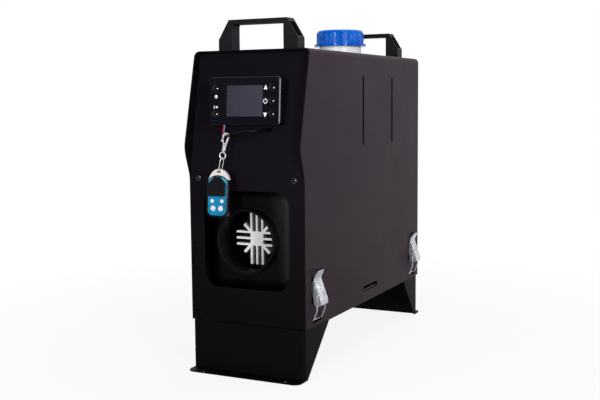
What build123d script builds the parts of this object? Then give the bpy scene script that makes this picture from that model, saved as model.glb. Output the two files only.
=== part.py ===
"""All-in-one diesel air heater: a folded sheet case on two legs that holds the heater,
its tank and its pump, with a controller and a remote fob hung on the front.
Millimetres. X is to the right seen from the front, Y runs to the back, Z is up.
The origin is on the floor, midway between the two rows of foot holes."""

import os
from math import atan2, cos, degrees, hypot, radians, sin, sqrt, tan

from build123d import *

# ------------------------------------------------------------------ casing
case_width = 150.0
case_depth = 380.0
case_height = 375.0
sheet = 1.5
case_bend = 6.5
seam_height = 59.5
panel_gap = 0.3
seat_gap = 0.3

# cheeks: the front edges of the two sides
cheek_foot_height = 230.0
nose_height = 262.5
nose_reach = 11.0
brow_setback = 16.3
nose_radius = 30.0

# front panel
fold_height = 241.0
brow_recess = 25.5
panel_bend = 2.5
panel_lip = 9.5
screw_spacing = 124.4
screw_height = 228.0

# pocket in the front panel and the outlet behind it
duct_height = 156.5
duct_diameter = 75.0
duct_wall = 2.5
duct_reach = 3.5
pocket_width = 112.0
pocket_height = 113.5
pocket_centre_height = 157.75
pocket_radius = 19.0

# openings in the sides
slit_width = 5.6
slit_bottom = 260.0
slit_top = 347.0
slit_setbacks = (170.7, 272.6)
level_slot_width = 49.0
level_slot_height = 7.2
level_slot_setback = 193.5
level_slot_z = 75.4

# legs and tray
leg_gap = 0.1
leg_top_height = 59.0
tray_height = 57.0
tray_flange = 18.0
front_leg_depth = 66.0
rear_leg_depth = 54.0
leg_toe = 7.0
leg_bend = 3.0
foot_reach = 17.0
foot_radius = 9.0
foot_hole_x = 54.0
foot_hole_reach = 11.5
foot_hole_diameter = 5.5
relief = 3.0

# handles
handle_half = 51.8
handle_shoulder = 13.5
handle_top_half = 38.0
handle_rise = 36.0
handle_bar = 5.4
handle_leg = 18.3
handle_depth = 17.7
handle_wall = 1.8
handle_foot = 6.0
front_handle_setback = 33.0
rear_handle_inset = 23.0
rear_handle_setback = case_depth - rear_handle_inset
handle_corner = 2.0

# screws
screw_diameter = 4.0
screw_clearance = 0.1
screw_head_diameter = 7.4
screw_head_height = 2.3
screw_length = 8.0
screw_slot = 0.8
screw_dome = 0.6
tab_width = 20.0
tab_height = 18.0
rear_screw_heights = (92.0, 345.0)

# toggle latches: heights and reaches are taken from the lever's pivot
front_latch_setback = 29.5
rear_latch_inset = 25.5
pivot_out = 5.2
pivot_height = 87.5
pin_diameter = 3.0
pin_clearance = 0.05
window_width = 29.0
window_height = 37.0
window_drop = 0.5
window_bottom = pivot_height - window_drop
keeper_width = 25.5
keeper_bottom = 63.6
keeper_height = 5.9
hook_slot_height = 4.5
lever_width = 19.0
lever_sheet = 1.2
lever_gap = 0.8
lip_reach = (1.2, 37.1)
web_top_reach = (-4.3, 26.7)
web_low_reach = (4.4, 2.7)
web_end_reach = (4.7, -2.5)
heel_reach = (-8.8, 21.0)
web_bends = (5.0, 7.0)
lip_round = 6.0
knuckle_radius = 4.6
rib_spread = 4.2
rib_width = 1.6
rib_rise = 0.8
rib_inset = 5.0
wire_diameter = 1.8
wire_gap = 0.4
bail_pin_rise = 8.5
bail_out = 4.9
bail_knee_drop = 9.5
bail_foot_out = 0.5
bail_foot_rise = 1.4
bail_bar_rise = 2.8
bail_bends = (1.3, 3.0, 2.2, 1.3)
stub_gap = 0.4
ear_radius = 2.8
ear_sheet = 1.5
ear_reach = 1.0
ear_low = 2.0
ear_high = 12.5
bracket_sheet = 1.2
pan_depth = 4.3
pan_margin = 2.0
pan_lip = 2.8
pan_drop = 9.5
pan_rise = 43.5

# fuel tank
tank_half_width = 50.0
tank_bottom = 232.0
tank_top = 366.0
tank_front_setback = 42.0
tank_back_gap = 20.0
tank_back_setback = case_depth - tank_back_gap
tank_wall = 2.5
tank_radius = 14.0
rail_width = 38.0
rail_front_setback = 76.0
neck_setback = 270.0
neck_diameter = 57.6
neck_top = 405.2
neck_step_height = 388.5
thread_diameter = 54.6
neck_bore = 46.0
neck_hole_gap = 2.2
spigot_x = 32.0
spigot_height = 246.0
spigot_reach = 7.0

# fuel cap
cap_diameter = 64.6
cap_flange_diameter = 70.6
cap_flange_height = 3.0
cap_bottom = 389.2
cap_top = 411.0
cap_bore_gap = 0.5
gasket_play = 0.2
cap_edge = 4.0
cap_rib_count = 24
cap_rib_radius = 1.0
cap_rib_step = 6.0
gasket_height = 1.8
thread_ridge = 0.5
thread_rises = (5.0, 11.0)
thread_width = 2.0

# heater
heater_width = 115.0
heater_height = 122.0
heater_radius = 20.0
heater_wall = 2.5
hood_setback = 12.0
hood_round = 16.0
hood_back_setback = 40.0
grille_plate = 4.0
grille_reach = 5.0
grille_diameter = 76.0
grille_bar = 2.5
grille_rings = (37.0, 27.0, 17.0)
grille_spokes = 6
vent_count = 5
core_radius = 27.0
core_wall = 3.5
core_front_setback = 45.0
core_flange = 4.0
nose_front_setback = 25.0
nose_back_setback = 60.0
nose_half_width = 27.0
nose_half_height = 30.5
fin_front_setback = 58.0
fin_back_setback = 200.0
fin_pitch = 7.25
fin_sheet = 2.5
fin_half_width = 50.0
fin_half_height = 53.0
fin_corner = 13.5
hub_half = 6.6
diagonal_fin = 3.4
diagonal_reach = 16.5
corner_reach = 38.0
port_radius = 13.0
port_bottom = 100.0
exhaust_setback = 120.0
intake_setback = 216.0
core_tail = 20.0
core_back_setback = intake_setback + core_tail
pipe_x = -18.0
pipe_radius = 12.0
pipe_wall = 1.5
pipe_bottom = 30.0
pipe_gap = 2.0
bead_rise = 4.0
bead_reach = 0.8
bead_width = 2.0
stub_radius = 3.0
stub_x = 24.0
stub_setback = 215.2
stub_bottom = 101.0
saddle_half = 45.0
saddle_flange = 14.0
saddle_front_setback = 76.0
saddle_back_setback = 300.0

# blower, one piece after another behind the casting
motor_radius = 22.0
motor_gap = 20.0
motor_front_setback = core_back_setback + motor_gap
motor_length = 34.0
motor_back_setback = motor_front_setback + motor_length
carrier_plate = 4.0
air_window_x = 35.5
air_window_z = 24.5
air_window_height = 36.0
air_window_width = 14.0
shaft_radius = 3.0
shaft_clearance = 0.05
shaft_lead = 6.0
shaft_front_setback = core_back_setback + shaft_lead
fan_radius = 44.0
fan_hub_radius = 17.0
fan_gap = 6.0
fan_front_setback = motor_back_setback + fan_gap
fan_depth = 22.0
fan_blades = 11
fan_disc = 2.0
blade_sheet = 2.0
blade_lean = 25.0
blade_root = 2.0
shaft_back_setback = fan_front_setback + fan_depth
wheel_radius = 24.0
wheel_gap = 7.5
wheel_front_setback = core_back_setback + wheel_gap
wheel_depth = 9.0
wheel_disc = 2.0
wheel_hub = 4.0
wheel_root = 1.0
wheel_blades = 12
wheel_blade_sheet = 1.2
wheel_blade_lean = 20.0
inlet_gap = 17.0
case_back_setback = shaft_back_setback + inlet_gap
board_half_width = 42.0
board_depth = 28.0
board_sheet = 1.6
board_drop = 11.0
board_blocks = ((-26.0, 11.0, 16.0, 12.0), (2.0, 16.0, 14.0, 14.0))
board_can = (28.0, 11.0, 5.0)
board_part_height = 5.0

# glow plug
plug_setback = 186.0
plug_radius = 3.5
plug_hex = 6.0
plug_length = 16.0
plug_seat_cut = 1.0
plug_hex_height = 6.0
plug_terminal = 8.0

# fuel pump and hoses
pump_x = 24.0
pump_z = 76.0
pump_radius = 13.5
pump_front_setback = 90.0
pump_length = 92.0
pump_nose = 9.0
pump_nose_radius = 3.0
pump_round = 2.0
clamp_wall = 3.0
clamp_width = 22.0
clamp_foot_width = 20.0
hose_diameter = 4.0
hose_wall = 1.0
# the hose from the tank: right of the middle, behind the front face, height over the pump
tank_hose_run = (
    (32.0, 24.0, 169.5),
    (37.0, 15.0, 165.0),
    (46.0, 12.0, 156.5),
    (56.0, 15.0, 145.0),
    (63.5, 20.0, 130.0),
    (66.6, 25.0, 112.0),
    (66.6, 28.0, 90.0),
    (65.0, 29.0, 68.0),
    (63.0, 29.5, 48.0),
    (60.5, 30.5, 29.0),
    (53.5, 34.0, 14.0),
    (44.0, 41.0, 5.0),
    (34.5, 50.0, 1.0),
    (27.0, 60.5, 0.0),
    (24.0, 71.5, 0.0),
)
stub_turn = 14.2
stub_turn_cut = 5.2

# controller
controller_width = 91.0
controller_height = 54.0
controller_x = 2.0
controller_z = 317.0
controller_reach = 5.0
controller_tilt = 4.0
controller_corner = 4.0
fascia_depth = 2.5
fascia_bevel = 0.8
housing_depth = 15.0
housing_inset = 0.7
housing_wall = 2.0
foot_half_width = 34.0
foot_half_height = 22.0
wire_hole_radius = 1.9
wire_exit_x = -27.0
wire_exit_reach = 0.5
screen_width = 46.0
screen_height = 35.0
screen_x = 0.8
screen_lift = 0.0
screen_gap = 0.15
screen_recess = 0.5
screen_flange = 2.5
button_x = 36.3
button_pitch = 14.6
button_radius = 4.3
button_gap = 0.3
button_rise = 1.4
button_dome = 8.0
button_flange = 1.0
button_flange_gap = 0.3
button_flange_lip = 0.7

# snap hook, in the plane of its eye; lengths down the chain from the eye's centre
chain_lean = 11.9
chain_reach = 16.0
eye_x = -15.5
eye_z = 277.5
hook_yaw = 50.0
hook_depth = 2.4
hook_bar = 1.6
eye_radius = 2.5
hook_throat = 10.8
hook_length = 16.8
hook_stem = 1.7
mouth_drop = 1.4
mouth_gap = 0.4
gate_bar = 1.2
gate_play = 0.15
gate_inset = 0.6
gate_hole_radius = 0.45
knob_radius = 1.0
knob_drop = 2.2
swivel_post_radius = 0.9
swivel_clearance = 0.06
swivel_bore_depth = 3.4
swivel_post_depth = 3.0
swivel_ring_radius = 3.7
swivel_bar = 0.7
swivel_centre = 22.3
link_bar = 0.5
link_radius = 3.7
link_half_length = 8.4

# remote fob, tilted a little so that its foot stands off the case
fob_width = 27.6
fob_top = 240.2
fob_height = 54.5
fob_x = -24.1
fob_depth = 8.0
fob_tilt = 6.0
fob_foot_radius = 8.0
fob_edge = 1.2
fob_dome = 19.0
arch_drop = 7.0
arch_end_drop = 12.0
arch_end_half = 12.2
arch_proud = 0.3
arch_depth = 6.0
arch_round = 0.8
fob_slot_width = 6.0
fob_slot_height = 2.8
fob_slot_drop = 3.0
fob_neck_depth = 2.8
fob_neck_width = 5.0
plate_sheet = 0.8
plate_half_width = 11.8
plate_margin = 1.2
plate_foot_margin = 2.1
plate_foot_radius = 6.0
cover_half_width = 10.9
cover_height = 22.5
cover_top_drop = 8.5
cover_lift = 1.0
cover_sheet = 1.0
cover_corner = 7.7
cover_corner_run = 7.2
cover_round = 1.5
cover_runner = 1.0
fob_button_rows = ((18.3, 6.4, 2.2), (10.0, 4.9, 3.1))
fob_button_rise = 0.7
fob_button_gap = 0.2
fob_button_depth = 2.6
fob_button_round = 0.4
fob_well_gap = 0.6
fob_well_play = 1.0
fob_collar_reach = 0.3
fob_collar_height = 0.8

# controller cable and its two wires: routes chosen by hand
sheath_diameter = 3.0
strand_diameter = 1.2
strand_half_gap = 0.7
cable_hole_x = 29.0
cable_hole_z = 284.0
sheath_lead = 6.4
# the sheath: right of the eye, out from the case, above the eye
cable_run = ((14.5, 25.5, 2.3), (23.0, 23.5, 4.7), (32.0, 18.0, 5.5), (39.5, 11.0, 6.5))
hole_lead = 7.0
hole_shift = 1.0
wire_start_rise = 2.0
# each wire: spread, right of its exit, out from the case, below its start
wire_run = ((0.7, 0.0, -0.5, 0.0), (0.7, 0.0, -0.5, 3.8), (0.5, 0.3, 1.4, 7.7))
wire_join = (1.8, 5.8, 10.8)
eye_lead = 5.5
eye_lead_rise = 0.3
sheath_gap = 5.0
sheath_rise = 1.2

# ------------------------------------------------------------------ worked out
front_y = -case_depth / 2
back_y = case_depth / 2
wall_x = case_width / 2
inner_x = wall_x - sheet
panel_half = inner_x - panel_gap
leg_half = inner_x - leg_gap
brow_slope = (brow_setback + nose_reach) / (case_height - nose_height)
inner_top = case_height - sheet
panel_lean = atan2(brow_recess, inner_top - fold_height)
panel_bottom = seam_height + seat_gap
latch_ys = (front_y + front_latch_setback, back_y - rear_latch_inset)
latches = {
    "front_right": (1, latch_ys[0]),
    "rear_right": (1, latch_ys[1]),
    "front_left": (-1, latch_ys[0]),
    "rear_left": (-1, latch_ys[1]),
}
neck_y = front_y + neck_setback
tank_front_y = front_y + tank_front_setback
handle_ys = (front_y + front_handle_setback, front_y + rear_handle_setback)
handle_screw_x = handle_half - handle_leg / 2
heater_top = duct_height + heater_height / 2
heater_bottom = duct_height - heater_height / 2
tray_floor = tray_height + sheet


def at_y(y):
    """An upright plane that faces the front, at this depth."""
    return Plane.XZ.offset(-y)


def save(part, name):
    """Label a finished piece and write its file."""
    part.label = name
    export_step(part, f"parts/{name}.step")


# ------------------------------------------------------------------ sheet pieces
def make_casing():
    with BuildPart() as casing:
        with BuildSketch(at_y(back_y)) as outer:
            with Locations((0, seam_height)):
                Rectangle(case_width, case_height - seam_height, align=(Align.CENTER, Align.MIN))
            fillet(outer.vertices().group_by(Axis.Y)[-1], case_bend)
        extrude(amount=case_depth + nose_reach)
        with BuildSketch(at_y(back_y)) as inner:
            with Locations((0, seam_height)):
                Rectangle(2 * inner_x, inner_top - seam_height, align=(Align.CENTER, Align.MIN))
            fillet(inner.vertices().group_by(Axis.Y)[-1], case_bend - sheet)
        extrude(amount=case_depth + nose_reach, mode=Mode.SUBTRACT)
        # the front edge of the cheeks and of the top
        with BuildSketch(Plane.YZ):
            with BuildLine():
                edge = FilletPolyline(
                    (front_y, seam_height - sheet),
                    (front_y, cheek_foot_height),
                    (front_y - nose_reach, nose_height),
                    (front_y + brow_setback + sheet * brow_slope, case_height + sheet),
                    radius=nose_radius,
                )
                Polyline(
                    edge @ 1,
                    (front_y - case_depth, case_height + sheet),
                    (front_y - case_depth, seam_height - sheet),
                    edge @ 0,
                )
            make_face()
        extrude(amount=case_width, both=True, mode=Mode.SUBTRACT)
        # latch windows, keeper slots, sight slits and the low slot
        with BuildSketch(Plane.YZ):
            for y in latch_ys:
                with Locations((y, window_bottom)):
                    Rectangle(window_width, window_height, align=(Align.CENTER, Align.MIN))
                with Locations((y, keeper_bottom)):
                    Rectangle(keeper_width, keeper_height, align=(Align.CENTER, Align.MIN))
            for setback in slit_setbacks:
                with Locations((front_y + setback, (slit_bottom + slit_top) / 2)):
                    SlotOverall(slit_top - slit_bottom, slit_width, rotation=90)
            with Locations((front_y + level_slot_setback, level_slot_z)):
                SlotOverall(level_slot_width, level_slot_height)
        extrude(amount=case_width, both=True, mode=Mode.SUBTRACT)
        # filler hole and handle screw holes in the top
        with BuildSketch(Plane.XY.offset(inner_top - sheet)):
            with Locations((0, neck_y)):
                Circle(neck_diameter / 2 + neck_hole_gap)
            for y in handle_ys:
                middle = y + handle_depth / 2
                with Locations((handle_screw_x, middle), (-handle_screw_x, middle)):
                    Circle(screw_diameter / 2)
        extrude(amount=3 * sheet, mode=Mode.SUBTRACT)
        # tabs behind the front panel and the rear panel
        with BuildSketch(at_y(front_y + sheet)):
            for side in (-1, 1):
                screw_tab(side, screw_height)
        extrude(amount=-sheet)
        with BuildSketch(at_y(back_y - 2 * sheet)):
            for side in (-1, 1):
                for height in rear_screw_heights:
                    screw_tab(side, height)
        extrude(amount=-sheet)
        # rails that carry the tank
        with BuildSketch(Plane.XY.offset(tank_bottom - sheet)):
            rail_length = tank_back_setback - rail_front_setback
            for side in (-1, 1):
                with Locations((side * (inner_x - rail_width / 2), front_y + rail_front_setback)):
                    Rectangle(rail_width, rail_length, align=(Align.CENTER, Align.MIN))
        extrude(amount=sheet)
    return casing.part


def screw_tab(side, height):
    """One folded tab with its screw hole, in an upright sketch."""
    with Locations((side * (inner_x - tab_width / 2), height)):
        Rectangle(tab_width, tab_height)
    with Locations((side * screw_spacing / 2, height)):
        Circle(screw_diameter / 2, mode=Mode.SUBTRACT)


def make_front_panel():
    brow_y = front_y + brow_recess
    with BuildPart() as panel:
        with BuildSketch(Plane.YZ):
            with BuildLine():
                FilletPolyline(
                    (front_y, panel_bottom),
                    (front_y, fold_height),
                    (brow_y, inner_top),
                    (brow_y + panel_lip, inner_top),
                    radius=panel_bend,
                )
                offset(amount=sheet, side=Side.RIGHT)
            make_face()
        extrude(amount=panel_half, both=True)
        with BuildSketch(at_y(front_y)):
            with Locations((0, pocket_centre_height)):
                RectangleRounded(pocket_width, pocket_height, pocket_radius)
            with Locations((-screw_spacing / 2, screw_height), (screw_spacing / 2, screw_height)):
                Circle(screw_diameter / 2 + screw_clearance)
        extrude(amount=-2 * sheet, mode=Mode.SUBTRACT)
        with BuildSketch(cable_plane()):
            Circle(sheath_diameter / 2 + panel_gap)
        extrude(amount=3 * sheet, both=True, mode=Mode.SUBTRACT)
        # the inner corners of the lip clear the round of the casing
        with BuildSketch(Plane.XZ):
            for side in (-1, 1):
                with BuildLine():
                    Polyline(
                        (side * (panel_half + sheet), inner_top - case_bend),
                        (side * (panel_half + sheet), inner_top + sheet),
                        (side * (panel_half - case_bend), inner_top + sheet),
                        close=True,
                    )
                make_face()
        extrude(amount=case_depth, both=True, mode=Mode.SUBTRACT)
    return panel.part


def cable_plane():
    """On the outer face of the leaning panel, where the cable goes through it."""
    y = front_y + (cable_hole_z - fold_height) * tan(panel_lean)
    normal = (0, -cos(panel_lean), sin(panel_lean))
    return Plane(origin=(cable_hole_x, y, cable_hole_z), x_dir=(1, 0, 0), z_dir=normal)


def make_rear_panel():
    with BuildPart() as panel:
        with BuildSketch(Plane.YZ):
            with BuildLine():
                FilletPolyline(
                    (back_y, panel_bottom),
                    (back_y, inner_top),
                    (back_y - panel_lip, inner_top),
                    radius=panel_bend,
                )
                offset(amount=sheet, side=Side.LEFT)
            make_face()
        extrude(amount=panel_half, both=True)
        with BuildSketch(at_y(back_y)):
            with Locations((0, duct_height)):
                Circle(grille_diameter / 2 + panel_gap)
            with Locations((0, slit_bottom)):
                with GridLocations(0, 2 * level_slot_height, 1, vent_count):
                    SlotOverall(duct_diameter, level_slot_height / 2)
            for side in (-1, 1):
                for height in rear_screw_heights:
                    with Locations((side * screw_spacing / 2, height)):
                        Circle(screw_diameter / 2 + screw_clearance)
        extrude(amount=2 * sheet, mode=Mode.SUBTRACT)
        with BuildSketch(Plane.XZ):
            for side in (-1, 1):
                with BuildLine():
                    Polyline(
                        (side * (panel_half + sheet), inner_top - case_bend),
                        (side * (panel_half + sheet), inner_top + sheet),
                        (side * (panel_half - case_bend), inner_top + sheet),
                        close=True,
                    )
                make_face()
        extrude(amount=case_depth, both=True, mode=Mode.SUBTRACT)
    return panel.part


def make_tray():
    middle_front = front_y + front_leg_depth
    middle_back = back_y - rear_leg_depth
    with BuildPart() as tray:
        with BuildSketch(at_y(middle_front)):
            with BuildLine():
                FilletPolyline(
                    (-leg_half, tray_height + tray_flange),
                    (-leg_half, tray_height),
                    (leg_half, tray_height),
                    (leg_half, tray_height + tray_flange),
                    radius=sheet * 1.2,
                )
                offset(amount=sheet, side=Side.LEFT)
            make_face()
        extrude(amount=-(middle_back - middle_front))
        with BuildSketch(Plane.XY.offset(tray_height)):
            RectangleRounded(2 * (leg_half - sheet), case_depth - 2 * sheet, leg_bend)
        extrude(amount=sheet)
        with BuildSketch(Plane.XY.offset(tray_height)):
            with Locations((pipe_x, front_y + exhaust_setback), (pipe_x, front_y + intake_setback)):
                Circle(pipe_radius + pipe_gap)
        extrude(amount=sheet, mode=Mode.SUBTRACT)
    return tray.part


def make_leg(facing, depth, latch_y):
    """One folded leg. facing is -1 for the front leg and 1 for the rear leg."""
    face_y = facing * case_depth / 2
    inner_y = face_y - facing * depth
    foot_y = face_y + facing * foot_reach
    with BuildPart() as leg:
        with BuildSketch():
            with BuildLine():
                FilletPolyline(
                    (-leg_half, inner_y),
                    (-leg_half, face_y),
                    (leg_half, face_y),
                    (leg_half, inner_y),
                    radius=leg_bend,
                )
                offset(amount=sheet, side=Side.LEFT if facing < 0 else Side.RIGHT)
            make_face()
        extrude(amount=tray_height + tray_flange)
        # the front plate stops at the seam, with a relief at each bend
        with BuildSketch(Plane.XY.offset(leg_top_height)):
            with Locations((0, face_y)):
                Rectangle(2 * leg_half + sheet, 2 * (leg_bend + relief / 2))
        extrude(amount=tray_height, mode=Mode.SUBTRACT)
        # the slope of the side webs
        with BuildSketch(Plane.YZ):
            with BuildLine():
                Polyline(
                    (face_y - facing * leg_toe, -sheet),
                    (face_y - facing * leg_toe, 0),
                    (inner_y, tray_height),
                    (inner_y - facing * depth, tray_height),
                    (inner_y - facing * depth, -sheet),
                    close=True,
                )
            make_face()
        extrude(amount=case_width, both=True, mode=Mode.SUBTRACT)
        # the slot that the latch bail hooks into
        with BuildSketch(Plane.YZ):
            with Locations((latch_y, keeper_bottom)):
                Rectangle(keeper_width, hook_slot_height, align=(Align.CENTER, Align.MIN))
        extrude(amount=case_width, both=True, mode=Mode.SUBTRACT)
        # foot flange
        with BuildSketch() as foot:
            with Locations((0, (foot_y + face_y - facing * sheet) / 2)):
                Rectangle(2 * leg_half, foot_reach + sheet)
            outer_corners = foot.vertices().sort_by(Axis.Y)
            fillet(outer_corners[:2] if facing < 0 else outer_corners[-2:], foot_radius)
            hole_y = face_y + facing * foot_hole_reach
            with Locations((-foot_hole_x, hole_y), (foot_hole_x, hole_y)):
                Circle(foot_hole_diameter / 2, mode=Mode.SUBTRACT)
        extrude(amount=sheet)
    return leg.part


def make_handle(front_face_y):
    base = case_height
    shoulder = base + handle_shoulder
    top = base + handle_rise
    opening_half = handle_half - handle_leg
    with BuildPart() as handle:
        with BuildSketch(at_y(front_face_y)) as outline:
            Polygon(
                (-handle_half, base),
                (handle_half, base),
                (handle_half, shoulder),
                (handle_top_half, top),
                (-handle_top_half, top),
                (-handle_half, shoulder),
                align=None,
            )
            with Locations((0, base)):
                Rectangle(
                    2 * opening_half,
                    handle_rise - handle_bar,
                    align=(Align.CENTER, Align.MIN),
                    mode=Mode.SUBTRACT,
                )
            under = top - handle_bar
            inner = outline.vertices().filter_by_position(Axis.Y, under - seat_gap, under + seat_gap)
            fillet(inner, handle_corner)
        extrude(amount=-handle_depth)
        # the legs are hollow, and open along the slanting shoulder
        hollow_y = front_face_y + handle_wall
        hollow_top = top - handle_bar + handle_wall / 2
        hollow_bottom = base + handle_foot
        slot_bottom = shoulder + handle_wall
        with BuildSketch(at_y(hollow_y)):
            for side in (-1, 1):
                near = side * (opening_half + handle_wall)
                far = side * (handle_half - handle_wall)
                out = side * (handle_half + handle_wall)
                with BuildLine():
                    Polyline(
                        (near, hollow_bottom),
                        (far, hollow_bottom),
                        (far, slot_bottom),
                        (out, slot_bottom),
                        (out, hollow_top),
                        (near, hollow_top),
                        close=True,
                    )
                make_face()
        extrude(amount=-(handle_depth - 2 * handle_wall), mode=Mode.SUBTRACT)
        with BuildSketch(Plane.XY.offset(base)):
            middle = front_face_y + handle_depth / 2
            with Locations((handle_screw_x, middle), (-handle_screw_x, middle)):
                Circle(screw_diameter / 2)
        extrude(amount=handle_foot, mode=Mode.SUBTRACT)
    return handle.part


def screw_planes():
    """Where each screw's head sits, with the normal pointing out of the head."""
    planes = []
    for side in (-1, 1):
        x = side * screw_spacing / 2
        planes.append(Plane(origin=(x, front_y, screw_height), z_dir=(0, -1, 0)))
        for height in rear_screw_heights:
            planes.append(Plane(origin=(x, back_y, height), z_dir=(0, 1, 0)))
        for y in handle_ys:
            point = (side * handle_screw_x, y + handle_depth / 2, inner_top)
            planes.append(Plane(origin=point, z_dir=(0, 0, -1)))
    return planes


def make_screws():
    with BuildPart() as screws:
        for plane in screw_planes():
            with BuildSketch(plane):
                Circle(screw_diameter / 2)
            extrude(amount=-min(screw_length, handle_foot + sheet))
            with BuildSketch(plane):
                Circle(screw_head_diameter / 2)
            extrude(amount=screw_head_height)
        rims = screws.edges().filter_by(GeomType.CIRCLE)
        heads = [e for e in rims if abs(e.radius - screw_head_diameter / 2) < 0.01]
        tops = [e for e in heads if min((e.arc_center - p.origin).length for p in screw_planes()) > 1]
        fillet(tops, screw_head_height * screw_dome)
        for plane in screw_planes():
            with BuildSketch(plane.offset(screw_head_height)):
                Rectangle(screw_slot, screw_head_diameter / 2)
                Rectangle(screw_head_diameter / 2, screw_slot)
            extrude(amount=-screw_head_height / 2, mode=Mode.SUBTRACT)
    return screws.part


# ------------------------------------------------------------------ latches
bail_pin_height = pivot_height + bail_pin_rise
lever_half = lever_width / 2
flange_inner = lever_half - lever_sheet
ear_outer = flange_inner - lever_gap
leg_w = lever_half + wire_gap + wire_diameter / 2


def from_pivot(reach):
    """A point of the latch's section, given from the lever's pivot."""
    return (pivot_out + reach[0], pivot_height + reach[1])


web_top = from_pivot(web_top_reach)
web_low = from_pivot(web_low_reach)
web_end = from_pivot(web_end_reach)
lip_tip = from_pivot(lip_reach)


def latch_plane(side, y):
    """Local X points out of the side wall, local Y is up, and the normal runs along the wall."""
    return Plane(origin=(side * wall_x, y, 0), x_dir=(side, 0, 0), z_dir=(0, -side, 0))


def make_lever(side, y):
    plane = latch_plane(side, y)
    pivot = (pivot_out, pivot_height)
    with BuildPart() as lever:
        # web with its curled finger lip
        with BuildSketch(plane):
            with BuildLine():
                FilletPolyline(lip_tip, web_top, web_low, web_end, radius=web_bends)
                offset(amount=lever_sheet, side=Side.RIGHT)
            make_face()
        extrude(amount=lever_half, both=True)
        # two flanges with the knuckle that turns on the pin
        for start in (flange_inner, -lever_half):
            with BuildSketch(plane.offset(start)):
                Polygon(
                    (pivot_out - knuckle_radius, pivot_height),
                    from_pivot(heel_reach),
                    (web_top[0] - lever_sheet, web_top[1] - lever_sheet),
                    (web_low[0] - lever_sheet, web_low[1]),
                    (pivot_out + knuckle_radius, pivot_height),
                    align=None,
                )
                with Locations(pivot):
                    Circle(knuckle_radius)
            extrude(amount=lever_sheet)
        with BuildSketch(plane.offset(-lever_half)):
            with Locations(pivot):
                Circle(pin_diameter / 2 + pin_clearance)
            with Locations((bail_out, bail_pin_height)):
                Circle(wire_diameter / 2 + pin_clearance)
        extrude(amount=lever_width, mode=Mode.SUBTRACT)
        # rounded lip, seen from the side of the case
        face = Plane(origin=(side * wall_x, y, 0), x_dir=(0, side, 0), z_dir=(side, 0, 0))
        with BuildSketch(face.offset(-window_width)):
            with Locations((0, lip_tip[1])):
                whole = 2 * lip_reach[1]
                RectangleRounded(lever_width, whole, lip_round, align=(Align.CENTER, Align.MAX))
        extrude(amount=3 * window_width, mode=Mode.INTERSECT)
        # two pressed ribs along the web
        along = (Vector(*web_top) - Vector(*web_low)).normalized()
        outward = Vector(along.Y, -along.X)
        high = Vector(*web_top) - along * rib_inset
        low = Vector(*web_low) + along * rib_inset
        section = (
            high - outward * lever_sheet / 2,
            low - outward * lever_sheet / 2,
            low + (outward + along) * rib_rise,
            high + (outward - along) * rib_rise,
        )
        for w in (-rib_spread, rib_spread):
            with BuildSketch(plane.offset(w)):
                Polygon(*[(p.X, p.Y) for p in section], align=None)
            extrude(amount=rib_width / 2, both=True)
    return lever.part


def make_bail(side, y):
    def world(out, along, z):
        return (side * (wall_x + out), y + along, z)

    wall_inside = -(sheet + leg_gap + sheet / 2)
    bar_height = keeper_bottom + bail_bar_rise
    half = [
        (bail_out, ear_outer + stub_gap, bail_pin_height),
        (bail_out, leg_w, bail_pin_height),
        (bail_out, leg_w, pivot_height - bail_knee_drop),
        (bail_foot_out, leg_w, bar_height + bail_foot_rise),
        (wall_inside, leg_w, bar_height),
    ]
    points = [world(*p) for p in half] + [world(p[0], -p[1], p[2]) for p in reversed(half)]
    with BuildPart() as bail:
        with BuildLine() as path:
            FilletPolyline(*points, radius=bail_bends + bail_bends[::-1])
        with BuildSketch(Plane(origin=path.line @ 0, z_dir=path.line % 0)):
            Circle(wire_diameter / 2)
        sweep()
    return bail.part


def make_latch_brackets():
    """Four pressed pans, one behind each window, with two ears through it."""
    pan_half = window_width / 2 + pan_margin
    pan_bottom = pivot_height - pan_drop
    pan_top = pivot_height + pan_rise
    middle = (pan_bottom + pan_top) / 2
    height = pan_top - pan_bottom
    with BuildPart() as brackets:
        for side, y in latches.values():
            plane = latch_plane(side, y)
            face = Plane(origin=(side * (wall_x - sheet), y, 0), x_dir=(0, side, 0), z_dir=(side, 0, 0))
            # the pan, then the lip that lies against the wall
            with BuildSketch(face):
                with Locations((0, middle)):
                    Rectangle(2 * (pan_half + pan_lip), height)
            extrude(amount=-bracket_sheet)
            with BuildSketch(face):
                with Locations((0, middle)):
                    Rectangle(2 * pan_half, height - 2 * pan_lip)
            extrude(amount=-(pan_depth + bracket_sheet - sheet))
            with BuildSketch(face):
                with Locations((0, middle)):
                    Rectangle(2 * (pan_half - bracket_sheet), height - 2 * (pan_lip + bracket_sheet))
            extrude(amount=-(pan_depth - sheet), mode=Mode.SUBTRACT)
            back = -pan_depth - bracket_sheet / 2
            for start in (ear_outer - ear_sheet, -ear_outer):
                with BuildSketch(plane.offset(start)):
                    with BuildLine():
                        Polyline(
                            (back, pivot_height + ear_low),
                            (ear_reach, pivot_height + ear_low),
                            (ear_reach, pivot_height + ear_high),
                            (back, pivot_height + ear_high),
                            close=True,
                        )
                        CenterArc((pivot_out, pivot_height), ear_radius, 0, 360)
                    make_hull()
                    with Locations((pivot_out, pivot_height)):
                        Circle(pin_diameter / 2, mode=Mode.SUBTRACT)
                extrude(amount=ear_sheet)
    return brackets.part


def make_latch_pins():
    with BuildPart() as pins:
        for side, y in latches.values():
            with BuildSketch(latch_plane(side, y)):
                with Locations((pivot_out, pivot_height)):
                    Circle(pin_diameter / 2)
            extrude(amount=lever_half, both=True)
    return pins.part


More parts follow.
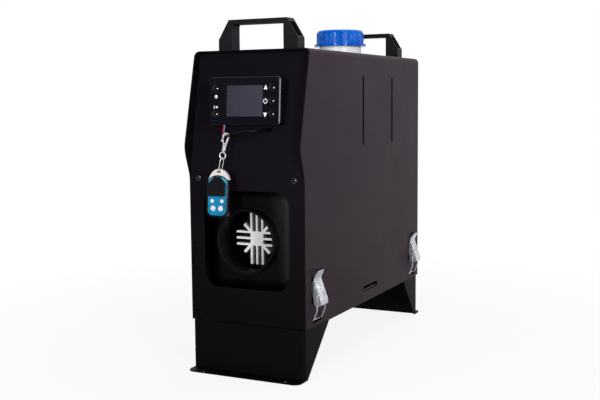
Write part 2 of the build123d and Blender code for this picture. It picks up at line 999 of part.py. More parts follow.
# ------------------------------------------------------------------ tank and cap
def make_tank():
    length = tank_back_setback - tank_front_setback
    middle_y = tank_front_y + length / 2
    with BuildPart() as tank:
        with BuildSketch(Plane.XY.offset(tank_bottom)):
            with Locations((0, middle_y)):
                RectangleRounded(2 * tank_half_width, length, tank_radius)
        extrude(amount=tank_top - tank_bottom)
        rims = tank.faces().filter_by(Axis.Z).edges()
        fillet(rims, tank_radius / 2)
        with BuildSketch(Plane.XY.offset(tank_top)):
            with Locations((0, neck_y)):
                Circle(neck_diameter / 2)
        extrude(amount=neck_step_height - tank_top)
        with BuildSketch(Plane.XY.offset(neck_step_height)):
            with Locations((0, neck_y)):
                Circle(thread_diameter / 2)
        extrude(amount=neck_top - neck_step_height)
        # thread, as two low ridges
        for thread_rise in thread_rises:
            with BuildSketch(Plane.XY.offset(neck_step_height + thread_rise)):
                with Locations((0, neck_y)):
                    Circle(thread_diameter / 2 + thread_ridge)
            extrude(amount=thread_width)
        # fuel spigot low on the front face
        with BuildSketch(at_y(tank_front_y - spigot_reach)):
            with Locations((spigot_x, spigot_height)):
                Circle(hose_diameter / 2)
        extrude(amount=-(spigot_reach + tank_wall))
        # hollow inside
        with BuildSketch(Plane.XY.offset(tank_bottom + tank_wall)):
            with Locations((0, middle_y)):
                RectangleRounded(
                    2 * (tank_half_width - tank_wall), length - 2 * tank_wall, tank_radius - tank_wall
                )
        extrude(amount=tank_top - tank_bottom - 2 * tank_wall, mode=Mode.SUBTRACT)
        with BuildSketch(Plane.XY.offset(tank_top - 2 * tank_wall)):
            with Locations((0, neck_y)):
                Circle(neck_bore / 2)
        extrude(amount=neck_top - tank_top + 3 * tank_wall, mode=Mode.SUBTRACT)
        with BuildSketch(at_y(tank_front_y - spigot_reach)):
            with Locations((spigot_x, spigot_height)):
                Circle(hose_diameter / 2 - hose_wall)
        extrude(amount=-(spigot_reach + 2 * tank_wall), mode=Mode.SUBTRACT)
    return tank.part


gasket_bottom = neck_top + seat_gap
cap_inner_top = gasket_bottom + gasket_height + gasket_play
cap_bore = thread_diameter / 2 + thread_ridge + cap_bore_gap


def make_cap():
    with BuildPart() as cap:
        with BuildSketch(Plane.XY.offset(cap_bottom)):
            with Locations((0, neck_y)):
                Circle(cap_flange_diameter / 2)
        extrude(amount=cap_flange_height)
        with BuildSketch(Plane.XY.offset(cap_bottom)):
            with Locations((0, neck_y)):
                Circle(cap_diameter / 2 - cap_rib_radius / 2)
        extrude(amount=cap_top - cap_bottom)
        fillet(cap.edges().group_by(Axis.Z)[-1], cap_edge)
        # pairs of grip ribs round the wall
        with BuildSketch(Plane.XY.offset(cap_bottom)):
            with Locations((0, neck_y)):
                for offset_angle in (0, cap_rib_step):
                    with PolarLocations(
                        cap_diameter / 2 - cap_rib_radius, cap_rib_count, start_angle=offset_angle
                    ):
                        Circle(cap_rib_radius)
        extrude(amount=cap_top - cap_bottom - cap_edge)
        with BuildSketch(Plane.XY.offset(cap_bottom)):
            with Locations((0, neck_y)):
                Circle(cap_bore)
        extrude(amount=cap_inner_top - cap_bottom, mode=Mode.SUBTRACT)
    return cap.part


def make_gasket():
    with BuildPart() as gasket:
        with BuildSketch(Plane.XY.offset(gasket_bottom)):
            with Locations((0, neck_y)):
                Circle(cap_bore - seat_gap)
                Circle(neck_bore / 2, mode=Mode.SUBTRACT)
        extrude(amount=gasket_height)
    return gasket.part


# ------------------------------------------------------------------ heater
inner_half_width = heater_width / 2 - heater_wall
inner_half_height = heater_height / 2 - heater_wall
inner_radius = heater_radius - heater_wall


def on_axis(setback):
    """An upright plane on the heater's axis, this far behind the front of the case."""
    return Plane(origin=(0, front_y + setback, duct_height), x_dir=(1, 0, 0), z_dir=(0, -1, 0))


def make_hood():
    with BuildPart() as hood:
        with BuildSketch(on_axis(hood_back_setback)):
            RectangleRounded(heater_width, heater_height, heater_radius)
        extrude(amount=hood_back_setback - hood_setback)
        fillet(hood.faces().sort_by(Axis.Y)[0].edges(), hood_round)
        with BuildSketch(on_axis(hood_back_setback)):
            RectangleRounded(2 * inner_half_width, 2 * inner_half_height, inner_radius)
        extrude(amount=hood_back_setback - hood_setback - heater_wall - hood_round / 2, mode=Mode.SUBTRACT)
        with BuildSketch(on_axis(hood_setback + duct_wall)):
            Circle(duct_diameter / 2)
        extrude(amount=hood_setback + duct_wall + duct_reach)
        with BuildSketch(on_axis(hood_back_setback)):
            Circle(duct_diameter / 2 - duct_wall)
        extrude(amount=hood_back_setback + 2 * duct_reach, mode=Mode.SUBTRACT)
    return hood.part


def case_half(upper):
    """Half of the plastic jacket between the hood and the inlet."""
    length = case_back_setback - hood_back_setback
    with BuildPart() as half:
        with BuildSketch(on_axis(case_back_setback)):
            RectangleRounded(heater_width, heater_height, heater_radius)
            RectangleRounded(2 * inner_half_width, 2 * inner_half_height, inner_radius, mode=Mode.SUBTRACT)
            keep = Align.MIN if upper else Align.MAX
            Rectangle(heater_width, heater_height, align=(Align.CENTER, keep), mode=Mode.INTERSECT)
        extrude(amount=length)
        if not upper:
            with BuildSketch(Plane.XY.offset(heater_bottom)):
                with Locations((pipe_x, front_y + exhaust_setback), (pipe_x, front_y + intake_setback)):
                    Circle(pipe_radius + pipe_gap)
                with Locations((stub_x, front_y + stub_setback)):
                    Circle(hose_diameter / 2 + panel_gap)
            extrude(amount=heater_wall, mode=Mode.SUBTRACT)
    return half.part


def make_exchanger():
    """The finned casting, with a closed nose, two ports and a fuel stub."""
    with BuildPart() as core:
        # the nose: a hub with three ribs each way and four diagonals
        with BuildSketch(on_axis(nose_back_setback)):
            Rectangle(2 * hub_half, 2 * hub_half)
            for turn in (45, 135):
                Rectangle(2 * diagonal_reach * sqrt(2), diagonal_fin, rotation=turn)
            for step in range(-1, 2):
                with Locations((step * fin_pitch, 0)):
                    Rectangle(fin_sheet, 2 * nose_half_height)
                with Locations((0, step * fin_pitch)):
                    Rectangle(2 * nose_half_width, fin_sheet)
        extrude(amount=nose_back_setback - nose_front_setback)
        # behind the nose the ribs reach the case, and long diagonals carry the outer fins
        with BuildSketch(on_axis(fin_back_setback)):
            for turn in (45, 135):
                Rectangle(2 * corner_reach * sqrt(2), diagonal_fin, rotation=turn)
            count = int((fin_half_width - hub_half) / fin_pitch)
            for step in range(-1, 2):
                with Locations((step * fin_pitch, 0)):
                    Rectangle(fin_sheet, 2 * fin_half_height)
                with Locations((0, step * fin_pitch)):
                    Rectangle(2 * fin_half_width, fin_sheet)
            for step in range(2, count + 1):
                for side in (-1, 1):
                    near = step * fin_pitch - fin_sheet
                    for up in (-1, 1):
                        align = (Align.CENTER, Align.MIN if up > 0 else Align.MAX)
                        with Locations((side * step * fin_pitch, up * near)):
                            Rectangle(fin_sheet, fin_half_height - near, align=align)
                        align = (Align.MIN if up > 0 else Align.MAX, Align.CENTER)
                        with Locations((up * near, side * step * fin_pitch)):
                            Rectangle(fin_half_width - near, fin_sheet, align=align)
            RectangleRounded(2 * fin_half_width, 2 * fin_half_height, fin_corner, mode=Mode.INTERSECT)
        extrude(amount=fin_back_setback - fin_front_setback)
        with BuildSketch(on_axis(core_back_setback)):
            Circle(core_radius)
        extrude(amount=core_back_setback - core_front_setback)
        with BuildSketch(on_axis(core_back_setback)):
            RectangleRounded(2 * inner_half_width, 2 * inner_half_height, inner_radius)
        extrude(amount=core_flange)
        # ports and fuel stub
        for x, setback, radius, low in (
            (pipe_x, exhaust_setback, port_radius, port_bottom),
            (pipe_x, intake_setback, port_radius, port_bottom),
            (stub_x, stub_setback, stub_radius, stub_bottom),
        ):
            with BuildSketch(Plane.XY.offset(low)):
                with Locations((x, front_y + setback)):
                    Circle(radius)
            extrude(amount=duct_height - low)
        # glow plug seat, clear of the fins
        with BuildSketch(Plane.XY.offset(duct_height + core_radius - plug_seat_cut)):
            with Locations((0, front_y + plug_setback)):
                Circle(plug_hex + pipe_gap)
        extrude(amount=heater_height, mode=Mode.SUBTRACT)
        with BuildSketch(Plane.XY.offset(duct_height)):
            with Locations((0, front_y + plug_setback)):
                Circle(plug_radius)
        extrude(amount=heater_height, mode=Mode.SUBTRACT)
        with BuildSketch(on_axis(core_back_setback)):
            Circle(core_radius - core_wall)
        extrude(amount=core_back_setback - core_front_setback - core_wall, mode=Mode.SUBTRACT)
        for setback in (exhaust_setback, intake_setback):
            with BuildSketch(Plane.XY.offset(port_bottom)):
                with Locations((pipe_x, front_y + setback)):
                    Circle(pipe_radius - pipe_wall)
            extrude(amount=duct_height - port_bottom, mode=Mode.SUBTRACT)
    return core.part


def make_pipe(setback):
    with BuildPart() as pipe:
        with BuildSketch(Plane.XY.offset(pipe_bottom)):
            with Locations((pipe_x, front_y + setback)):
                Circle(pipe_radius)
                Circle(pipe_radius - pipe_wall, mode=Mode.SUBTRACT)
        extrude(amount=port_bottom - pipe_bottom)
        # swaged bead that holds the hose clip
        with BuildSketch(Plane.XY.offset(pipe_bottom + bead_rise)):
            with Locations((pipe_x, front_y + setback)):
                Circle(pipe_radius + bead_reach)
                Circle(pipe_radius - pipe_wall, mode=Mode.SUBTRACT)
        extrude(amount=bead_width)
    return pipe.part


def make_saddle():
    """Folded sheet that carries the heater over the tray."""
    top = heater_bottom
    with BuildPart() as saddle:
        with BuildSketch(at_y(front_y + saddle_back_setback)):
            with BuildLine():
                FilletPolyline(
                    (-saddle_half - saddle_flange, tray_floor + sheet),
                    (-saddle_half, tray_floor + sheet),
                    (-saddle_half, top),
                    (saddle_half, top),
                    (saddle_half, tray_floor + sheet),
                    (saddle_half + saddle_flange, tray_floor + sheet),
                    radius=panel_bend,
                )
                offset(amount=sheet, side=Side.RIGHT)
            make_face()
        extrude(amount=saddle_back_setback - saddle_front_setback)
        with BuildSketch(Plane.XY.offset(top - sheet)):
            with Locations((pipe_x, front_y + exhaust_setback), (pipe_x, front_y + intake_setback)):
                Circle(pipe_radius + pipe_gap)
            with Locations((stub_x, front_y + stub_setback)):
                Circle(hose_diameter / 2 + panel_gap)
        extrude(amount=sheet, mode=Mode.SUBTRACT)
    return saddle.part


def make_fan():
    """Main fan with its shaft. The combustion wheel sits on the shaft's front end."""
    with BuildPart() as fan:
        with BuildSketch(on_axis(shaft_back_setback)):
            Circle(shaft_radius)
        extrude(amount=shaft_back_setback - shaft_front_setback)
        with BuildSketch(on_axis(fan_front_setback + fan_depth)):
            Circle(fan_hub_radius)
        extrude(amount=fan_depth)
        with BuildSketch(on_axis(fan_front_setback + fan_disc)):
            Circle(fan_radius)
        extrude(amount=fan_disc)
        with BuildSketch(on_axis(fan_front_setback + fan_depth)):
            with PolarLocations(fan_hub_radius - blade_root, fan_blades):
                blade = fan_radius - fan_hub_radius
                Rectangle(blade, blade_sheet, rotation=blade_lean, align=(Align.MIN, Align.CENTER))
        extrude(amount=fan_depth)
    return fan.part


def make_wheel():
    with BuildPart() as wheel:
        with BuildSketch(on_axis(wheel_front_setback + wheel_depth)):
            Circle(wheel_radius)
        extrude(amount=wheel_disc)
        with BuildSketch(on_axis(wheel_front_setback + wheel_depth)):
            hub = shaft_radius + wheel_hub
            Circle(hub)
            with PolarLocations(hub - wheel_root, wheel_blades):
                Rectangle(
                    wheel_radius - hub,
                    wheel_blade_sheet,
                    rotation=wheel_blade_lean,
                    align=(Align.MIN, Align.CENTER),
                )
        extrude(amount=wheel_depth)
        with BuildSketch(on_axis(wheel_front_setback + wheel_depth)):
            Circle(shaft_radius)
        extrude(amount=wheel_depth, mode=Mode.SUBTRACT)
    return wheel.part


def make_motor():
    """Motor on the carrier plate that fills the case's section."""
    with BuildPart() as motor:
        with BuildSketch(on_axis(motor_front_setback + carrier_plate)):
            RectangleRounded(2 * inner_half_width, 2 * inner_half_height, inner_radius)
        extrude(amount=carrier_plate)
        with BuildSketch(on_axis(motor_back_setback)):
            Circle(motor_radius)
        extrude(amount=motor_back_setback - motor_front_setback)
        with BuildSketch(on_axis(motor_back_setback)):
            Circle(shaft_radius + shaft_clearance)
        extrude(amount=motor_back_setback - motor_front_setback, mode=Mode.SUBTRACT)
        # air passes round the motor through four windows in the plate
        with BuildSketch(on_axis(motor_front_setback + carrier_plate)):
            for up in (-1, 1):
                for side in (-1, 1):
                    with Locations((side * air_window_x, up * air_window_z)):
                        SlotOverall(air_window_height, air_window_width, rotation=90)
        extrude(amount=carrier_plate, mode=Mode.SUBTRACT)
    return motor.part


def make_board():
    """Control board, fixed to the carrier plate over the motor."""
    front = front_y + motor_front_setback + carrier_plate
    top = heater_top - heater_wall - board_drop
    with BuildPart() as board:
        with BuildSketch(Plane.XY.offset(top)):
            with Locations((0, front)):
                Rectangle(2 * board_half_width, board_depth, align=(Align.CENTER, Align.MIN))
        extrude(amount=board_sheet)
        with BuildSketch(Plane.XY.offset(top + board_sheet)):
            for x, back, width, depth in board_blocks:
                with Locations((x, front + back)):
                    Rectangle(width, depth)
            with Locations((board_can[0], front + board_can[1])):
                Circle(board_can[2])
        extrude(amount=board_part_height)
    return board.part


def make_glow_plug():
    seat = duct_height + core_radius - plug_seat_cut
    with BuildPart() as plug:
        for base, radius, height in (
            (seat - plug_length, plug_radius, plug_length),
            (seat + plug_hex_height, plug_radius / 2, plug_terminal),
        ):
            with BuildSketch(Plane.XY.offset(base)):
                with Locations((0, front_y + plug_setback)):
                    Circle(radius)
            extrude(amount=height)
        with BuildSketch(Plane.XY.offset(seat)):
            with Locations((0, front_y + plug_setback)):
                RegularPolygon(plug_hex, 6)
        extrude(amount=plug_hex_height)
    return plug.part


def make_grille():
    """Air inlet: a plate on the back of the heater and a guarded collar through the rear panel."""
    collar_end = case_depth + grille_reach
    with BuildPart() as grille:
        with BuildSketch(on_axis(case_back_setback + grille_plate)):
            RectangleRounded(heater_width, heater_height, heater_radius)
        extrude(amount=grille_plate)
        # the collar fills the hole in the panel, and outside it has the duct's size
        with BuildSketch(on_axis(case_depth)):
            Circle(grille_diameter / 2)
        extrude(amount=case_depth - case_back_setback)
        with BuildSketch(on_axis(collar_end)):
            Circle(duct_diameter / 2)
        extrude(amount=collar_end - case_back_setback)
        with BuildSketch(on_axis(collar_end)):
            Circle(duct_diameter / 2 - duct_wall)
        extrude(amount=collar_end - case_back_setback, mode=Mode.SUBTRACT)
        with BuildSketch(on_axis(collar_end - grille_bar)):
            for radius in grille_rings:
                Circle(radius)
                Circle(radius - grille_bar, mode=Mode.SUBTRACT)
            Circle(grille_rings[-1] / 2)
            with PolarLocations(grille_rings[-1] / 2 - grille_bar / 2, grille_spokes):
                spoke = grille_rings[0] - grille_rings[-1] / 2
                Rectangle(spoke, grille_bar, align=(Align.MIN, Align.CENTER))
        extrude(amount=grille_bar)
    return grille.part


# ------------------------------------------------------------------ fuel line
def make_pump():
    start = front_y + pump_front_setback
    with BuildPart() as pump:
        for y0, length, radius in (
            (start, pump_length, pump_radius),
            (start - pump_nose, pump_nose, pump_nose_radius),
            (start + pump_length, pump_nose, pump_nose_radius),
        ):
            with BuildSketch(Plane(origin=(pump_x, y0, pump_z), z_dir=(0, 1, 0))):
                Circle(radius)
            extrude(amount=length)
        rims = pump.edges().filter_by(GeomType.CIRCLE)
        fillet([e for e in rims if abs(e.radius - pump_radius) < 0.01], pump_round)
    return pump.part


def make_clamp():
    """Rubber-lined clamp that holds the pump on the tray."""
    middle = front_y + pump_front_setback + pump_length / 2
    with BuildPart() as clamp:
        with BuildSketch(at_y(middle - clamp_width / 2)):
            with Locations((pump_x, pump_z)):
                Circle(pump_radius + clamp_wall)
            with Locations((pump_x, tray_floor)):
                Rectangle(clamp_foot_width, pump_z - tray_floor, align=(Align.CENTER, Align.MIN))
            with Locations((pump_x, pump_z)):
                Circle(pump_radius, mode=Mode.SUBTRACT)
        extrude(amount=-clamp_width)
    return clamp.part


def tank_hose_points():
    """Route of the fuel hose from the tank's spigot down to the pump."""
    start = Vector(spigot_x, tank_front_y - spigot_reach, spigot_height)
    inlet = Vector(pump_x, front_y + pump_front_setback - pump_nose, pump_z)
    return [start, *[Vector(x, front_y + back, pump_z + rise) for x, back, rise in tank_hose_run], inlet]


def pump_hose_points():
    """Route of the fuel hose from the pump back and up to the casting's stub."""
    stub_y = front_y + stub_setback
    return [
        Vector(pump_x, front_y + pump_front_setback + pump_length + pump_nose, pump_z),
        Vector(stub_x, stub_y - stub_turn, pump_z),
        Vector(stub_x, stub_y - stub_turn_cut, pump_z + stub_turn_cut),
        Vector(stub_x, stub_y, pump_z + stub_turn),
        Vector(stub_x, stub_y, stub_bottom),
    ]


# ------------------------------------------------------------------ controller
tilt = radians(controller_tilt)
face_plane = Plane(
    origin=(controller_x, front_y - controller_reach, controller_z),
    x_dir=(1, 0, 0),
    z_dir=(0, -cos(tilt), sin(tilt)),
)
button_places = {
    "menu_button": (-button_x, button_pitch),
    "set_button": (-button_x, -button_pitch),
    "up_button": (button_x, button_pitch),
    "power_button": (button_x, 0.0),
    "down_button": (button_x, -button_pitch),
}
panel_plane = Plane(
    origin=(0, front_y, fold_height),
    x_dir=(1, 0, 0),
    z_dir=(0, -cos(panel_lean), sin(panel_lean)),
)
wire_exit_y = front_y + wire_exit_reach


def make_fascia():
    with BuildPart() as fascia:
        with BuildSketch(face_plane):
            RectangleRounded(controller_width, controller_height, controller_corner)
        extrude(amount=-fascia_depth)
        front_rim = fascia.faces().sort_by(Axis.Y)[0].edges()
        chamfer(front_rim, fascia_bevel)
        with BuildSketch(face_plane):
            with Locations((screen_x, screen_lift)):
                Rectangle(screen_width + 2 * screen_gap, screen_height + 2 * screen_gap)
            with Locations(*button_places.values()):
                Circle(button_radius + button_gap)
        extrude(amount=-fascia_depth, mode=Mode.SUBTRACT)
    return fascia.part


def make_housing():
    width = controller_width - 2 * housing_inset
    height = controller_height - 2 * housing_inset
    with BuildPart() as housing:
        with BuildSketch(face_plane.offset(-fascia_depth)):
            RectangleRounded(width, height, controller_corner - housing_inset)
        extrude(amount=-(housing_depth - fascia_depth))
        back_rim = housing.faces().sort_by(Axis.Y)[-1].edges()
        fillet(back_rim, housing_wall * 0.9)
        # moulded wedge foot on the back, cut to the lean of the panel
        with BuildSketch(face_plane.offset(-housing_depth)):
            Rectangle(2 * foot_half_width, 2 * foot_half_height)
        extrude(amount=-controller_height)
        split(bisect_by=panel_plane, keep=Keep.TOP)
        with BuildSketch(face_plane.offset(-fascia_depth)):
            RectangleRounded(
                width - 2 * housing_wall, height - 2 * housing_wall, controller_corner - housing_wall
            )
        extrude(amount=-(housing_depth - fascia_depth - housing_wall), mode=Mode.SUBTRACT)
        # hole in the underside for the two wires
        with BuildSketch(Plane.XY.offset(controller_z)):
            with Locations((wire_exit_x, wire_exit_y)):
                Circle(wire_hole_radius)
        extrude(amount=-controller_height, mode=Mode.SUBTRACT)
    return housing.part


def make_screen():
    with BuildPart() as screen:
        with BuildSketch(face_plane.offset(-screen_recess)):
            with Locations((screen_x, screen_lift)):
                Rectangle(screen_width, screen_height)
        extrude(amount=-(fascia_depth - screen_recess))
        with BuildSketch(face_plane.offset(-fascia_depth)):
            with Locations((screen_x, screen_lift)):
                Rectangle(screen_width + 2 * screen_flange, screen_height + 2 * screen_flange)
        extrude(amount=-screen_flange)
    return screen.part


def make_button(place):
    with BuildPart() as button:
        with BuildSketch(face_plane.offset(button_rise)):
            with Locations(place):
                Circle(button_radius)
        extrude(amount=-(button_rise + fascia_depth + button_flange_gap + button_flange))
        with Locations(face_plane.offset(button_rise - button_dome).location * Location((*place, 0))):
            Sphere(button_dome, mode=Mode.INTERSECT)
        with BuildSketch(face_plane.offset(-fascia_depth - button_flange_gap)):
            with Locations(place):
                Circle(button_radius + button_gap + button_flange_lip)
        extrude(amount=-button_flange)
    return button.part


# ------------------------------------------------------------------ snap hook and link
lean = radians(chain_lean)
chain_y = front_y - chain_reach
eye = Vector(eye_x, chain_y, eye_z)
down = Vector(-sin(lean), 0, -cos(lean))
across = Vector(cos(lean), 0, -sin(lean))
yaw = radians(hook_yaw)
hook_x_dir = across * cos(yaw) + Vector(0, 1, 0) * sin(yaw)
hook_normal = Vector(0, -1, 0) * cos(yaw) + across * sin(yaw)
hook_plane = Plane(origin=eye, x_dir=hook_x_dir, z_dir=hook_normal)
chain_plane = Plane(origin=eye, x_dir=across, z_dir=(0, -1, 0))
hook_mid = eye_radius + hook_bar / 2
gate_pivot = (-gate_inset, -hook_throat)
gate_tip = (-hook_mid, -mouth_drop - hook_bar / 2 - mouth_gap - gate_bar / 2)
ring_inside = swivel_centre + swivel_ring_radius - swivel_bar
link_centre = ring_inside - seat_gap - link_bar + link_half_length
hang_point = eye + down * (link_centre + link_half_length)


def make_hook():
    with BuildPart() as hook:
        with BuildSketch(hook_plane):
            # the bar goes round the eye and down one side to the stem
            with BuildLine():
                Line((hook_stem - hook_bar / 2, -hook_throat), (hook_mid, 0))
                CenterArc((0, 0), hook_mid, 0, 180)
                Line((-hook_mid, 0), (-hook_mid, -mouth_drop))
                offset(amount=hook_bar / 2)
            make_face()
            with Locations((0, -hook_throat + hook_bar / 2)):
                stem = hook_length - hook_throat + hook_bar / 2
                Rectangle(2 * hook_stem, stem, align=(Align.CENTER, Align.MAX))
        extrude(amount=hook_depth / 2, both=True)
        # bore for the swivel post
        with BuildSketch(Plane(origin=eye + down * hook_length, z_dir=down * -1)):
            Circle(swivel_post_radius + swivel_clearance)
        extrude(amount=swivel_bore_depth, mode=Mode.SUBTRACT)
        # slot for the gate, and the pin that it turns on
        with BuildSketch(hook_plane):
            with Locations((hook_stem / 2, gate_pivot[1] - gate_bar)):
                Rectangle(3 * hook_stem, hook_throat / 2, align=(Align.MAX, Align.MIN))
        extrude(amount=gate_bar / 2 + gate_play, both=True, mode=Mode.SUBTRACT)
        with BuildSketch(hook_plane):
            with Locations(gate_pivot):
                Circle(gate_hole_radius - swivel_clearance)
        extrude(amount=hook_depth / 2, both=True)
    return hook.part


def make_gate():
    run = hypot(gate_tip[0] - gate_pivot[0], gate_tip[1] - gate_pivot[1])
    turn = degrees(atan2(gate_tip[1] - gate_pivot[1], gate_tip[0] - gate_pivot[0]))
    with BuildPart() as gate:
        with BuildSketch(hook_plane):
            with Locations(((gate_tip[0] + gate_pivot[0]) / 2, (gate_tip[1] + gate_pivot[1]) / 2)):
                SlotOverall(run + gate_bar, gate_bar, rotation=turn)
            # thumb knob near the tip
            with Locations((gate_tip[0] - gate_bar / 2, gate_tip[1] - knob_drop)):
                Circle(knob_radius)
            with Locations(gate_pivot):
                Circle(gate_hole_radius + gate_bar / 2)
                Circle(gate_hole_radius, mode=Mode.SUBTRACT)
        extrude(amount=gate_bar / 2, both=True)
    return gate.part


def make_swivel():
    ring_centre = eye + down * swivel_centre
    post_top = hook_length - swivel_post_depth
    with BuildPart() as swivel:
        with BuildSketch(Plane(origin=ring_centre + across * swivel_ring_radius, z_dir=down)):
            Circle(swivel_bar)
        revolve(axis=Axis(ring_centre, (0, 1, 0)))
        with BuildSketch(Plane(origin=eye + down * post_top, z_dir=down)):
            Circle(swivel_post_radius)
        extrude(amount=swivel_centre - swivel_ring_radius - post_top)
    return swivel.part


def make_link():
    """Long ring that stands across the swivel ring and through the fob's slot."""
    centre = eye + down * link_centre
    straight = link_half_length - link_radius
    link_plane = Plane(origin=centre, x_dir=(0, 1, 0), z_dir=across * -1)
    with BuildPart() as link:
        with BuildLine(link_plane) as path:
            Line((link_radius, -straight), (link_radius, straight))
            CenterArc((0, straight), link_radius, 0, 180)
            Line((-link_radius, straight), (-link_radius, -straight))
            CenterArc((0, -straight), link_radius, 180, 180)
        with BuildSketch(Plane(origin=path.line @ 0, z_dir=path.line % 0)):
            Circle(link_bar)
        sweep(path=path.line)
    return link.part


# ------------------------------------------------------------------ remote fob
fob_face_y = chain_y - fob_depth / 2
fob_bottom = fob_top - fob_height
fob_plane = Plane(origin=(fob_x, fob_face_y, fob_bottom), x_dir=(1, 0, 0), z_dir=(0, -1, 0))
fob_half = fob_width / 2
dome_z = fob_height - fob_dome
arch_end_z = fob_height - arch_end_drop
arch_rise = arch_end_drop - arch_drop
arch_radius = (arch_end_half**2 + arch_rise**2) / (2 * arch_rise)
arch_centre_z = fob_height - arch_drop - arch_radius


def hang(part):
    """Tilt a piece of the fob about the point where it hangs on the link."""
    return part.rotate(Axis(hang_point, (1, 0, 0)), -fob_tilt)


def crescent(proud):
    """The part of the domed outline that lies above the arch's inner curve."""
    with BuildSketch() as moon:
        with Locations((0, dome_z)):
            Ellipse(fob_half + proud, fob_dome + proud)
        with Locations((0, arch_centre_z)):
            Circle(arch_radius, mode=Mode.SUBTRACT)
        with Locations((0, arch_end_z)):
            Rectangle(2 * fob_width, fob_height, align=(Align.CENTER, Align.MAX), mode=Mode.SUBTRACT)
    return moon.sketch


def make_fob_shell():
    with BuildPart() as shell:
        with BuildSketch(fob_plane):
            with BuildLine() as outline:
                FilletPolyline(
                    (fob_half, dome_z),
                    (fob_half, 0),
                    (-fob_half, 0),
                    (-fob_half, dome_z),
                    radius=fob_foot_radius,
                )
                Line((-fob_half, dome_z), (fob_half, dome_z))
            make_face(outline.edges())
            with Locations((0, dome_z)):
                Ellipse(fob_half, fob_dome)
            add(crescent(fob_edge), mode=Mode.SUBTRACT)
        extrude(amount=-fob_depth)
        rims = shell.faces().filter_by(Axis.Y).edges()
        foot_rims = rims.filter_by(lambda e: e.center().Z < fob_bottom + fob_foot_radius)
        fillet(foot_rims, fob_edge)
        # seat for the face plate, and wells for the button stems
        with BuildSketch(fob_plane):
            plate_outline()
        extrude(amount=-plate_sheet, mode=Mode.SUBTRACT)
        with BuildSketch(fob_plane):
            for z, half_pitch, radius in fob_button_rows:
                with Locations((-half_pitch, z), (half_pitch, z)):
                    Circle(radius + fob_button_gap + fob_well_gap)
        extrude(amount=-(plate_sheet + fob_button_depth + fob_well_play), mode=Mode.SUBTRACT)
    return shell.part


def plate_outline():
    """The face plate, whose top follows the arch."""
    top_radius = arch_radius - plate_margin
    side_height = arch_centre_z + sqrt(top_radius**2 - plate_half_width**2)
    half = plate_half_width
    foot = plate_foot_margin
    with BuildLine() as outline:
        FilletPolyline(
            (half, side_height),
            (half, foot),
            (-half, foot),
            (-half, side_height),
            radius=plate_foot_radius,
        )
        ThreePointArc((-half, side_height), (0, arch_centre_z + top_radius), (half, side_height))
    make_face(outline.edges())


def make_fob_plate():
    with BuildPart() as plate:
        with BuildSketch(fob_plane.offset(-plate_sheet)):
            plate_outline()
            for z, half_pitch, radius in fob_button_rows:
                with Locations((-half_pitch, z), (half_pitch, z)):
                    Circle(radius + fob_button_gap, mode=Mode.SUBTRACT)
        extrude(amount=plate_sheet)
    return plate.part


def make_fob_arch():
    """Chrome arch over the top, with the slot that the link passes through."""
    front = -(fob_depth - arch_depth) / 2
    with BuildPart() as arch:
        with BuildSketch(fob_plane.offset(front)):
            add(crescent(arch_proud))
        extrude(amount=-arch_depth)
        rims = arch.faces().filter_by(Axis.Y).edges()
        fillet(rims.filter_by(GeomType.ELLIPSE), arch_round)
        with BuildSketch(fob_plane.offset(front)):
            with Locations((0, fob_height - fob_slot_drop)):
                SlotOverall(fob_slot_width, fob_slot_height)
        extrude(amount=-arch_depth, mode=Mode.SUBTRACT)
        # thinner over the slot, so that the link goes round it
        recess = (arch_depth - fob_neck_depth) / 2
        for start in (front, front - arch_depth + recess):
            with BuildSketch(fob_plane.offset(start)):
                with Locations((0, fob_height - fob_slot_drop)):
                    Rectangle(fob_neck_width, fob_slot_drop * 2, align=(Align.CENTER, Align.MIN))
            extrude(amount=-recess, mode=Mode.SUBTRACT)
    return arch.part


def make_fob_cover():
    """Dark cover that slides down over the buttons, on two low runners."""
    top = fob_height - cover_top_drop
    with BuildPart() as cover:
        with BuildSketch(fob_plane.offset(cover_lift)):
            Polygon(
                (-cover_half_width, top - cover_height),
                (cover_half_width, top - cover_height),
                (cover_half_width, top - cover_corner),
                (cover_half_width - cover_corner_run, top),
                (-cover_half_width + cover_corner_run, top),
                (-cover_half_width, top - cover_corner),
                align=None,
            )
        extrude(amount=cover_sheet)
        fillet(cover.edges().filter_by(Axis.Y), cover_round)
        # two runners that slide on the face
        runner_length = cover_height - cover_corner - 2 * cover_round
        with BuildSketch(fob_plane.offset(seat_gap)):
            for side in (-1, 1):
                with Locations((side * (cover_half_width - cover_runner), top - cover_corner)):
                    Rectangle(cover_runner, runner_length, align=(Align.CENTER, Align.MAX))
        extrude(amount=cover_lift - seat_gap)
    return cover.part


def make_fob_button(x, z, radius):
    with BuildPart() as button:
        with BuildSketch(fob_plane.offset(fob_button_rise)):
            with Locations((x, z)):
                Circle(radius)
        extrude(amount=-(fob_button_rise + plate_sheet + fob_button_depth))
        fillet(button.edges().filter_by(GeomType.CIRCLE).sort_by(Axis.Y)[0], fob_button_round)
        with BuildSketch(fob_plane.offset(-plate_sheet - fob_button_gap)):
            with Locations((x, z)):
                Circle(radius + fob_button_gap + fob_collar_reach)
        extrude(amount=-fob_collar_height)
    return button.part


# ------------------------------------------------------------------ controller cable
wire_rise = Vector(sin(lean), 0, cos(lean)) * (eye_radius - strand_diameter / 2 - seat_gap)
wire_side = hook_normal.cross(wire_rise.normalized())
wire_start_z = controller_z - controller_height / 2 + wire_start_rise
sheath_start = eye + wire_rise * sheath_rise + hook_normal * sheath_gap


